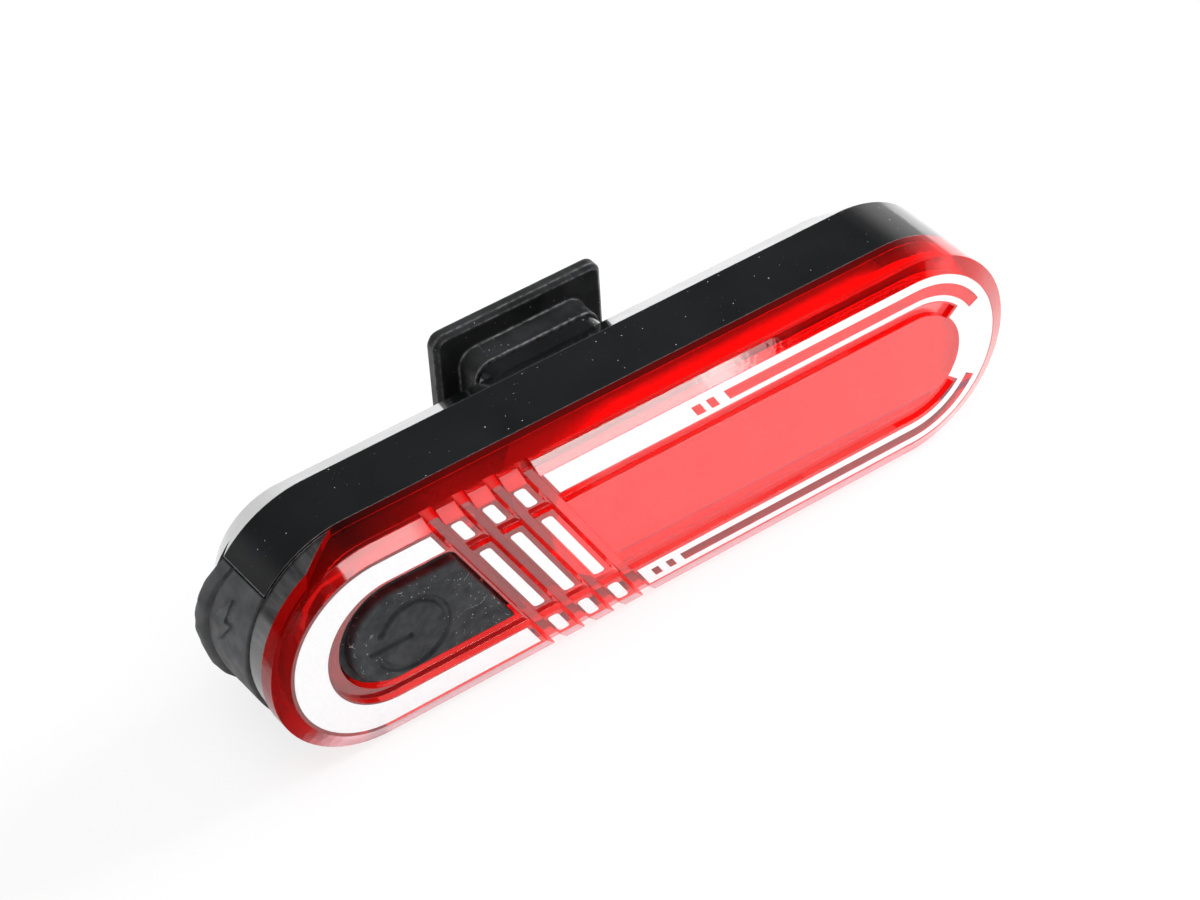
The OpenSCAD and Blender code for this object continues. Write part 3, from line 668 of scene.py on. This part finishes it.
@dataclass
class LensPrint:
    """White print on the lens front: a frame round the button, the pads, and a frame round the window.

    Attributes:
        front: Depth of the lens front, in front of the joint.
        proud: How far the print stands out of it.
        depth: Thickness of the print.
        frame_radius: Outer radius of the button frame's round end.
        frame_inner: Inner radius of the button frame, about the opening's own centre.
        opening_x: Centre of the opening's round end.
        frame_end: Where the button frame stops on the middle line.
        pad_x: Left edge of the first pad's print on the middle line.
        pad_width: Width of a pad's print along the light.
        pad_pitch: Distance from one pad to the next.
        pad_count: Number of pads along the light.
        pad_rows: Lower and upper end of each row of prints.
        pad_corner: Corner radius of a pad's print.
        window_start: Where the window's frame starts on the middle line.
        lanes_top: Inner edge, both edges of the bare stripe, and outer edge of the frame's upper arm.
        lanes_bottom: The same for its lower arm.
        bare_top: Bare spans of the upper arm's middle lane, from and to.
        bare_bottom: The same for the lower arm.
        stripe_top: Where the upper stripe starts on the middle line, and its end's angle in degrees.
        stripe_bottom: The same for the lower stripe.
        window_radius: Radius of the window's round end.
        fill_angle: Half angle of the print between window and frame at the round end.
        spare: Spare length that the slanted cuts take off the frames.
    """

    front: float = -4.3
    proud: float = 0.012
    depth: float = 0.04
    frame_radius: float = 8.54
    frame_inner: float = 6.32
    opening_x: float = -26.3
    frame_end: float = -17.35
    pad_x: float = -15.45
    pad_width: float = 1.1
    pad_pitch: float = 3.03
    pad_count: int = 3
    pad_rows: tuple[tuple[float, float], ...] = ((6.3, 8.62), (-4.5, 4.3), (-8.52, -6.45))
    pad_corner: float = 0.32
    window_start: float = -6.22
    lanes_top: tuple[float, ...] = (6.2, 6.74, 7.94, 8.87)
    lanes_bottom: tuple[float, ...] = (6.5, 7.18, 8.1, 8.67)
    bare_top: tuple[tuple[float, float], ...] = ((8.0, 8.9), (9.5, 10.3))
    bare_bottom: tuple[tuple[float, float], ...] = ((-5.2, -4.48), (-3.7, -3.0))
    stripe_top: tuple[float, float] = (11.35, 28.5)
    stripe_bottom: tuple[float, float] = (-2.17, -33.0)
    window_radius: float = 5.02
    fill_angle: float = 40.0
    spare: float = 8.0

    def build(self, shop: Workshop) -> None:
        """Builds the three prints."""
        for name, mesh in (
            ("button_frame_print", self.button_frame()),
            ("pad_prints", self.pads()),
            ("window_frame_print", self.window_frame()),
        ):
            bmesh.ops.translate(mesh, verts=mesh.verts, vec=(0, self.front - self.proud, 0))
            thicken(mesh, (0, self.depth, 0))
            shop.piece(name, mesh, Finishes.PRINT, Body.LIGHT)

    def hook(self, mesh: Mesh, reach: float, centre: float, radius: float) -> list[Edge]:
        """Draws a line along the lower side, round the button end and back along the upper side.

        Args:
            mesh: Where the line goes.
            reach: Where its two ends stop.
            centre: Centre of the round end.
            radius: Radius of the round end.

        Returns:
            The line's edges.
        """
        before = set(mesh.edges)
        start = mesh.verts.new((reach, 0, -radius))
        turn = bmesh.ops.extrude_vert_indiv(mesh, verts=[start])["verts"]
        bmesh.ops.translate(mesh, verts=turn, vec=(centre - reach, 0, 0))
        spun = bmesh.ops.spin(mesh, geom=turn, cent=(centre, 0, 0), axis=(0, 1, 0), angle=math.pi, steps=ROUND_STEPS)
        end = bmesh.ops.extrude_vert_indiv(mesh, verts=only(Vert, spun["geom_last"]))["verts"]
        bmesh.ops.translate(mesh, verts=end, vec=(reach - centre, 0, 0))
        return [edge for edge in mesh.edges if edge not in before]

    def button_frame(self) -> Mesh:
        """Sheet of the frame round the button."""
        mesh = bmesh.new()
        reach = self.frame_end + self.spare
        outer = self.hook(mesh, reach, -HALF_SPAN, self.frame_radius)
        inner = self.hook(mesh, reach, self.opening_x, self.frame_inner)
        bmesh.ops.bridge_loops(mesh, edges=outer + inner)
        cut(mesh, self.frame_end, keep_right=False)
        return mesh

    def pads(self) -> Mesh:
        """Sheets of the pads' prints."""
        mesh = bmesh.new()
        for column in range(self.pad_count):
            left = self.pad_x + column * self.pad_pitch
            for low, high in self.pad_rows:
                places = ((left, low), (left + self.pad_width, low), (left + self.pad_width, high), (left, high))
                corners = [mesh.verts.new((x - z * SLANT, 0, z)) for x, z in places]
                mesh.faces.new(corners)
                round_off(mesh, corners, self.pad_corner, 5, "VERTICES")
        return mesh

    def window_frame(self) -> Mesh:
        """Sheet of the frame round the window, with its bare squares and stripes."""
        mesh = bmesh.new()
        reach = self.window_start - self.spare
        points = [mesh.verts.new((reach, 0, -radius)) for radius in self.lanes_top]
        edges = [mesh.edges.new(pair) for pair in zip(points, points[1:])]
        edges = self.run(mesh, edges, HALF_SPAN - reach)
        spun = bmesh.ops.spin(mesh, geom=edges, cent=(HALF_SPAN, 0, 0), axis=(0, 1, 0), angle=-math.pi,
                              steps=ROUND_STEPS)
        self.run(mesh, only(Edge, spun["geom_last"]), reach - HALF_SPAN)
        for vert in mesh.verts:
            self.settle(vert)
        cut(mesh, self.window_start, keep_right=True)
        bare = [*self.bare_top, *self.bare_bottom]
        for x in sorted({value for span in bare for value in span} | {self.stripe_top[0], self.stripe_bottom[0]}):
            cut(mesh, x)
        bmesh.ops.delete(mesh, geom=[face for face in mesh.faces if self.is_bare(face)], context="FACES")
        self.end_fill(mesh)
        return mesh

    def run(self, mesh: Mesh, edges: list[Edge], length: float) -> list[Edge]:
        """Extrudes a line of edges along the light and returns its far edges."""
        grown = bmesh.ops.extrude_edge_only(mesh, edges=edges)["geom"]
        moved = only(Vert, grown)
        bmesh.ops.translate(mesh, verts=moved, vec=(length, 0, 0))
        return [edge for edge in only(Edge, grown) if all(vert in moved for vert in edge.verts)]

    def polar(self, place: Vector) -> tuple[float, float]:
        """Distance from the middle line or end centre, and angle there in degrees, -90 below and 90 above."""
        if place.x <= HALF_SPAN + TOUCH:
            return abs(place.z), math.copysign(90.0, place.z)
        return math.hypot(place.x - HALF_SPAN, place.z), math.degrees(math.atan2(place.z, place.x - HALF_SPAN))

    def settle(self, vert: Vert) -> None:
        """Moves a point from the upper arm's lane to the lane at its own angle."""
        radius, angle = self.polar(vert.co)
        lane = min(range(4), key=lambda i: abs(self.lanes_top[i] - radius))
        share = (angle + 90) / 180
        wanted = self.lanes_bottom[lane] * (1 - share) + self.lanes_top[lane] * share
        if vert.co.x <= HALF_SPAN + TOUCH:
            vert.co.z *= wanted / radius
        else:
            vert.co.x = HALF_SPAN + (vert.co.x - HALF_SPAN) * wanted / radius
            vert.co.z *= wanted / radius

    def is_bare(self, face: Face) -> bool:
        """Whether a face lies in a bare square or stripe."""
        middle = face.calc_center_median()
        radius, angle = self.polar(middle)
        lanes, squares, stripe = ((self.lanes_top, self.bare_top, self.stripe_top) if middle.z > 0 else
                                  (self.lanes_bottom, self.bare_bottom, self.stripe_bottom))
        if not lanes[1] < radius < lanes[2]:
            return False
        across = middle.x + middle.z * SLANT
        if abs(angle) > 89:
            return across > stripe[0] or any(low < across < high for low, high in squares)
        return abs(angle) > abs(stripe[1])

    def end_fill(self, mesh: Mesh) -> None:
        """Adds the print between the window's round end and the frame."""
        turn = Matrix.Rotation(math.radians(self.fill_angle), 3, "Y")
        radii = (self.window_radius, self.lanes_top[0])
        ends = [mesh.verts.new(turn @ Vector((radius, 0, 0)) + Vector((HALF_SPAN, 0, 0))) for radius in radii]
        edge = mesh.edges.new(ends)
        before = set(mesh.verts) - set(ends)
        bmesh.ops.spin(mesh, geom=[edge], cent=(HALF_SPAN, 0, 0), axis=(0, 1, 0),
                       angle=math.radians(-2 * self.fill_angle), steps=32)
        for vert in set(mesh.verts) - before:
            if self.polar(vert.co)[0] > sum(radii) / 2:
                self.settle(vert)


@dataclass
class RubberButton:
    """Rubber button: a crowned cap with a sunk power sign, on a shoulder, a flange and a stem.

    Attributes:
        centre: Centre of the round end along the light.
        half: Half width of the opening.
        end: Where the opening's straight side crosses the middle line.
        corner: Radius of the opening's wide corner.
        cap: How far the cap stands in from the opening at its sides and at its straight side.
        shoulder: The same for the shoulder.
        flange: The same for the flange, which stands out.
        top: Depth of the crown.
        crown_radius: Radius of the crown across the button.
        edge: Rounding of the cap's edge.
        shoulder_depth: Depth of the shoulder.
        flange_depths: Depths of the flange's front and back.
        stem: Place and radius of the stem, and the depth that it reaches.
        sign: Centre of the sign along and across the light.
        ring: Radius of the sign's ring, along the middle of its groove.
        groove: Half width of the ring's groove and of the bar's.
        groove_depth: Depth of the grooves.
        groove_flat: Share of a groove's half width over which its floor is flat.
        gap: Half angle of the ring's gap in degrees.
        bar: How far the bar reaches from the centre, at its inner and outer end.
        grid: Number of steps along and across the cap.
    """

    centre: float = -25.75
    half: float = 5.45
    end: float = -16.85
    corner: float = 1.3
    cap: tuple[float, float] = (-0.85, -0.35)
    shoulder: tuple[float, float] = (-0.25, -0.25)
    flange: tuple[float, float] = (0.8, 0.8)
    top: float = -4.26
    crown_radius: float = 70.6
    edge: float = 0.3
    shoulder_depth: float = -3.2
    flange_depths: tuple[float, float] = (-1.5, -0.6)
    stem: tuple[float, float, float] = (-23.9, 2.2, 0.55)
    sign: tuple[float, float] = (-24.52, -0.65)
    ring: float = 3.35
    groove: tuple[float, float] = (0.42, 0.36)
    groove_depth: float = 0.3
    groove_flat: float = 0.35
    gap: float = 27.0
    bar: tuple[float, float] = (0.3, 3.95)
    grid: tuple[int, int] = (170, 120)

    def build(self, shop: Workshop) -> None:
        """Builds the button in place of its CAD node."""
        mesh = bmesh.new()
        bmesh.ops.create_grid(mesh, x_segments=self.grid[0], y_segments=self.grid[1], size=1)
        shares = mesh.verts.layers.float_vector.new("shares")
        for vert in mesh.verts:
            vert[shares] = vert.co
            vert.co = self.place(vert[shares], self.cap, 0.0)
            vert.co.y = self.height(vert.co)
        rim = [edge for edge in mesh.edges if edge.is_boundary]
        steps = (
            (self.cap, self.shoulder_depth),
            (self.shoulder, self.shoulder_depth),
            (self.shoulder, self.flange_depths[0]),
            (self.flange, self.flange_depths[0]),
            (self.flange, self.flange_depths[1]),
        )
        for grow, depth in steps:
            grown = bmesh.ops.extrude_edge_only(mesh, edges=rim)["geom"]
            moved = only(Vert, grown)
            for vert in moved:
                vert.co = self.place(vert[shares], grow, depth)
            rim = [edge for edge in only(Edge, grown) if edge.is_boundary]
        bmesh.ops.contextual_create(mesh, geom=rim)
        x, radius, reach = self.stem
        length = reach - self.flange_depths[1]
        turn = Matrix.Translation((x, self.flange_depths[1] + length / 2, 0)) @ Matrix.Rotation(math.pi / 2, 4, "X")
        bmesh.ops.create_cone(mesh, cap_ends=True, segments=48, radius1=radius, radius2=radius, depth=length,
                              matrix=turn)
        button = shop.piece("rubber_button", mesh, Finishes.BUTTON, Body.BUTTON, 50)
        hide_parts("power_button")

    def place(self, share: Vector, grow: tuple[float, float], depth: float) -> Vector:
        """Maps a point of the unit square onto the button's outline.

        Args:
            share: Point of the square, from -1 to 1 along and across.
            grow: How far the outline stands out of the opening's, at its sides and at its straight side.
            depth: Depth of the point.

        Returns:
            The point's place.
        """
        radius = self.half + grow[0]
        corner = self.corner + grow[0]
        lean = math.sqrt(1 + SLANT ** 2)
        side = self.end + grow[1] * lean
        angle = share.y * math.pi / 2
        z = radius * math.sin(angle)
        left = self.centre - radius * math.cos(angle)
        right = side - z * SLANT
        over = z - radius + corner
        if over > corner * SLANT / lean:
            corner_x = side - (radius - corner) * SLANT - corner * lean
            right = corner_x + math.sqrt(max(corner ** 2 - over ** 2, 0.0))
        return Vector((left + (right - left) * (share.x + 1) / 2, depth, z))

    def height(self, place: Vector) -> float:
        """Depth of the cap's surface at a place, with its crown, rounded edge and sunk sign."""
        radius = self.half + self.cap[0]
        lean = math.sqrt(1 + SLANT ** 2)
        inside = radius - math.hypot(min(place.x - self.centre, 0.0), place.z)
        inside = min(inside, (self.end + self.cap[1] * lean - place.z * SLANT - place.x) / lean)
        turn = 1 - min(max(inside / self.edge, 0.0), 1.0)
        drop = self.edge * (1 - math.sqrt(1 - turn ** 2)) + place.z ** 2 / (2 * self.crown_radius)
        x, z = place.x - self.sign[0], place.z - self.sign[1]
        angle = math.degrees(math.atan2(z, -x))
        if abs(angle) > self.gap:
            from_ring = abs(math.hypot(x, z) - self.ring)
        else:
            stop = math.radians(math.copysign(self.gap, angle))
            from_ring = math.hypot(x + self.ring * math.cos(stop), z - self.ring * math.sin(stop))
        from_bar = math.hypot(x + min(max(-x, self.bar[0]), self.bar[1]), z)
        groove = max(1 - ease(width * self.groove_flat, width, gap)
                     for width, gap in zip(self.groove, (from_ring, from_bar)))
        return self.top + drop + self.groove_depth * groove


@dataclass
class CoverFlap:
    """Rubber cover over the charging socket: a curved skin with a groove, a pull lip, a plug and a raised bolt.

    Attributes:
        half_angle: Half of the angle that the skin covers, in degrees.
        profile: Cross-section of skin, groove and lip, as radius and depth behind the joint.
        skin_radius: Outer radius of the skin.
        arch_radius: Radius of the arch of the lip.
        arch_from: Depth at which the arch starts to show.
        arch_to: Depth from which it shows in full.
        lip_from: Distance from the middle at which the lip starts to fade.
        lip_to: Distance at which it has faded.
        plug_low: Lowest corner of the plug.
        plug_high: Highest corner of the plug.
        plug_edge: Rounding of the plug's edges.
        bolt: Outline of the raised bolt, along the skin and in depth.
        bolt_height: Height of the bolt.
        bolt_corner: Rounding of its corners.
        bolt_sunk: How deep its foot is in the skin.
    """

    half_angle: float = 38.7
    profile: tuple[tuple[float, float], ...] = (
        (9.4, 0.16), (10.14, 0.16), (10.26, 0.21), (10.3, 0.34), (10.3, 2.0), (10.3, 4.0), (10.3, 5.45),
        (10.24, 5.68), (10.05, 5.82), (10.02, 5.95), (10.12, 6.06), (10.4, 6.1), (10.72, 6.2), (10.92, 6.42),
        (10.97, 6.7), (10.9, 7.0), (10.68, 7.24), (10.36, 7.36), (9.9, 7.38), (9.55, 7.28), (9.4, 7.06), (9.4, 4.0),
    )
    skin_radius: float = 10.3
    arch_radius: float = 15.6
    arch_from: float = 2.2
    arch_to: float = 5.4
    lip_from: float = 4.6
    lip_to: float = 6.4
    plug_low: Vector = field(default_factory=lambda: Vector((-37.0, 2.45, -3.6)))
    plug_high: Vector = field(default_factory=lambda: Vector((-35.4, 4.55, 3.6)))
    plug_edge: float = 0.3
    bolt: tuple[tuple[float, float], ...] = (
        (0.6, 3.9), (2.9, 2.3), (2.75, 3.2), (5.1, 2.9), (2.8, 4.6), (2.95, 3.7),
    )
    bolt_height: float = 0.25
    bolt_corner: float = 0.16
    bolt_sunk: float = 0.1

    def build(self, shop: Workshop) -> None:
        """Builds the flap in place of its CAD node, and the bolt on it."""
        flap = shop.piece("cover_flap", self.flap(), Finishes.COVER, Body.COVER, 50)
        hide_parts("charging_cover")
        sign = shop.piece("cover_bolt", self.raised_bolt(), Finishes.COVER, Body.COVER, 30)

    def flap(self) -> Mesh:
        """Skin, groove and lip spun about the end's centre, with the plug behind."""
        mesh = bmesh.new()
        points = [mesh.verts.new((-radius, depth, 0)) for radius, depth in self.profile]
        edges = [mesh.edges.new((a, b)) for a, b in zip(points, points[1:] + points[:1])]
        turn = Matrix.Rotation(math.radians(-self.half_angle), 3, "Y")
        bmesh.ops.rotate(mesh, verts=points, cent=(0, 0, 0), matrix=turn)
        bmesh.ops.spin(mesh, geom=[*points, *edges], cent=(0, 0, 0), axis=(0, 1, 0),
                       angle=math.radians(2 * self.half_angle), steps=96)
        bmesh.ops.holes_fill(mesh, edges=mesh.edges, sides=0)
        for vert in mesh.verts:
            self.shape(vert)
        bmesh.ops.translate(mesh, verts=mesh.verts, vec=(-HALF_SPAN, 0, 0))
        size = self.plug_high - self.plug_low
        middle = (self.plug_high + self.plug_low) / 2
        plug = bmesh.ops.create_cube(mesh, size=1, matrix=Matrix.Translation(middle) @ Matrix.Diagonal((*size, 1)))
        rims = {edge for vert in plug["verts"] for edge in vert.link_edges}
        round_off(mesh, list(rims), self.plug_edge, 4, "EDGES")
        return mesh

    def shape(self, vert: Vert) -> None:
        """Arches the lip, fades it towards its ends and gives it the unevenness of soft rubber."""
        place = vert.co
        radius = math.hypot(place.x, place.z)
        if radius > self.skin_radius + 0.01:
            fade = 1 - ease(self.lip_from, self.lip_to, abs(place.z))
            lumps = 0.8 + 0.2 * noise.noise(Vector((place.y * 0.9, place.z * 1.1, 3.7)))
            wanted = self.skin_radius + (radius - self.skin_radius) * fade * min(lumps, 1.0)
            place.x *= wanted / radius
            place.z *= wanted / radius
        drop = self.arch_radius - math.sqrt(self.arch_radius ** 2 - place.z ** 2)
        place.y -= drop * ease(self.arch_from, self.arch_to, place.y)

    def raised_bolt(self) -> Mesh:
        """Bolt laid round the skin."""
        mesh = bmesh.new()
        mesh.faces.new([mesh.verts.new((along, depth, 0)) for along, depth in self.bolt])
        round_off(mesh, list(mesh.verts), self.bolt_corner, 3, "VERTICES")
        thicken(mesh, (0, 0, self.bolt_height + self.bolt_sunk))
        for vert in mesh.verts:
            angle = vert.co.x / self.skin_radius
            radius = self.skin_radius - self.bolt_sunk + vert.co.z
            vert.co = Vector((-HALF_SPAN - radius * math.cos(angle), vert.co.y, radius * math.sin(angle)))
        return mesh


def ease(start: float, end: float, value: float) -> float:
    """Smooth step from 0 at start to 1 at end."""
    share = min(max((value - start) / (end - start), 0.0), 1.0)
    return share * share * (3 - 2 * share)


@dataclass
class Lamp:
    """Soft box of the studio.

    Attributes:
        name: Name of the lamp.
        place: Where it stands, in metres.
        size: Its width and height in metres.
        power: Its power in watts.
        mirrored: Whether glossy pieces mirror it.
    """

    name: str
    place: Colour
    size: tuple[float, float]
    power: float
    mirrored: bool = True

    def build(self, target: Vector) -> None:
        """Builds the lamp, turned to the target."""
        data = bpy.data.lights.new(self.name, "AREA")
        data.shape = "RECTANGLE"
        data.size, data.size_y = self.size
        data.energy = self.power
        lamp = bpy.data.objects.new(self.name, data)
        lamp.location = self.place
        lamp.rotation_euler = (target - Vector(self.place)).to_track_quat("-Z", "Y").to_euler()
        lamp.visible_camera = False
        lamp.visible_glossy = self.mirrored
        bpy.context.scene.collection.objects.link(lamp)


@dataclass
class Studio:
    """White floor, pale surroundings, soft boxes and the camera.

    Attributes:
        azimuth: The camera's direction round the light, in degrees.
        elevation: The camera's height over the floor, in degrees.
        roll: The camera's roll, in degrees.
        distance: The camera's distance from its target, in millimetres.
        target: The point that the camera looks at, from the joint, in millimetres.
        focal: Focal length in millimetres.
        sensor: Width of the camera's sensor in millimetres.
        lamps: The soft boxes.
        floor_size: Half width of the floor in metres.
        paper: Colour of the floor.
        floor_seen: How white the floor is to the camera, to glossy pieces and through clear ones.
        even: Strength of the even light.
        fall: Heights between which the backdrop falls off, and its levels there.
        masks: Axes along which the backdrop is masked, each with the mask's start and end.
        masked: Level of the backdrop where it is masked.
    """

    azimuth: float = -33.71
    elevation: float = 40.938
    roll: float = -3.677
    distance: float = 314.806
    target: Vector = field(default_factory=lambda: Vector((-2.682, 0.0, 3.959)))
    focal: float = 114.884
    sensor: float = 36.0
    lamps: tuple[Lamp, ...] = (
        Lamp("top_box", (-0.12, -0.05, 0.85), (0.6, 0.6), 3.6),
        Lamp("front_box", (-0.15, -0.85, 0.5), (0.5, 0.4), 0.6),
        Lamp("side_box", (0.34, 0.0, 0.17), (0.16, 0.16), 1.8, mirrored=False),
        Lamp("low_card", (0.174, -0.6, 0.045), (0.254, 0.09), 0.85),
        Lamp("low_card_end", (0.313, -0.6, 0.045), (0.02, 0.09), 0.025),
    )
    floor_size: float = 3.0
    paper: Colour = (0.92, 0.92, 0.92)
    floor_seen: Colour = (0.8, 0.42, 0.3)
    even: float = 0.38
    fall: tuple[float, float, float, float] = (0.25, 0.6, 0.72, 0.1)
    masks: tuple[tuple[str, float, float], ...] = (("Y", -0.6, 0.1), ("X", -0.85, -0.45))
    masked: float = 0.05

    def build(self) -> None:
        """Builds the whole studio."""
        self.floor()
        self.surroundings()
        for lamp in self.lamps:
            lamp.build(self.target_place())
        self.camera()
        bpy.context.scene.view_settings.view_transform = "Standard"

    def target_place(self) -> Vector:
        """The camera's target in metres in the frame."""
        return (JOINT + self.target) * MM

    def floor(self) -> None:
        """Builds the floor, which shows white and keeps the light's shadow."""
        mesh = bmesh.new()
        bmesh.ops.create_grid(mesh, x_segments=1, y_segments=1, size=self.floor_size)
        data = bpy.data.meshes.new("floor")
        mesh.to_mesh(data)
        mesh.free()
        material = bpy.data.materials.new("floor_white")
        graph = Graph(material)
        paper = graph.add("BsdfDiffuse", Color=self.paper)
        glow = graph.add("Emission", Strength=1.0)
        mixed = graph.blend(graph.seen(*self.floor_seen), paper.outputs[0], glow.outputs[0])
        graph.add("OutputMaterial", Surface=mixed)
        data.materials.append(material)
        floor = bpy.data.objects.new("floor", data)
        bpy.context.scene.collection.objects.link(floor)

    def surroundings(self) -> None:
        """Builds the world: even light, and a backdrop that is white low down behind the light and dim elsewhere."""
        world = bpy.data.worlds.new("studio")
        graph = Graph(world)
        even = graph.add("Background", Color=WHITE, Strength=self.even)
        split = graph.add("SeparateXYZ", Vector=graph.add("TexCoord").outputs["Generated"]).outputs
        start, end, low, high = self.fall
        level = graph.spread(split["Z"], low, high, start, end, smooth=True)
        for axis, start, end in self.masks:
            level = graph.product(level, graph.spread(split[axis], self.masked, 1, start, end, smooth=True))
        level = graph.largest(level, graph.seen(1, 0, 1))
        backdrop = graph.add("Background", Color=WHITE, Strength=level)
        mixed = graph.blend(graph.seen(1, 1, 1), even.outputs[0], backdrop.outputs[0])
        graph.add("OutputWorld", Surface=mixed)
        bpy.context.scene.world = world

    def camera(self) -> None:
        """Builds the camera at the picture's own angle."""
        azimuth, elevation, roll = (math.radians(v) for v in (self.azimuth, self.elevation, self.roll))
        back = Vector((math.sin(azimuth) * math.cos(elevation), -math.cos(azimuth) * math.cos(elevation),
                       math.sin(elevation)))
        right = (-back).cross(Vector((0, 0, 1))).normalized()
        up = right.cross(-back)
        across = right * math.cos(roll) + up * math.sin(roll)
        upward = up * math.cos(roll) - right * math.sin(roll)
        data = bpy.data.cameras.new("camera")
        data.sensor_width = self.sensor
        data.lens = self.focal
        data.clip_start, data.clip_end = 0.01, 20
        camera = bpy.data.objects.new("camera", data)
        turn = Matrix((across, upward, back)).transposed().to_4x4()
        camera.matrix_world = Matrix.Translation(self.target_place() + back * self.distance * MM) @ turn
        bpy.context.scene.collection.objects.link(camera)
        bpy.context.scene.camera = camera


def main() -> None:
    """Loads the frame, dresses it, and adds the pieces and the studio."""
    logging.basicConfig(level=logging.INFO, format="%(message)s")
    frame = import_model()
    shop = Workshop()
    for name, finish in NODE_FINISHES.items():
        shop.dress(frame["nodes"][name], finish)
        LOG.info("node %s: %s", name, finish.name)
    LensPrint().build(shop)
    RubberButton().build(shop)
    CoverFlap().build(shop)
    Studio().build()


if __name__ == "__main__":
    main()
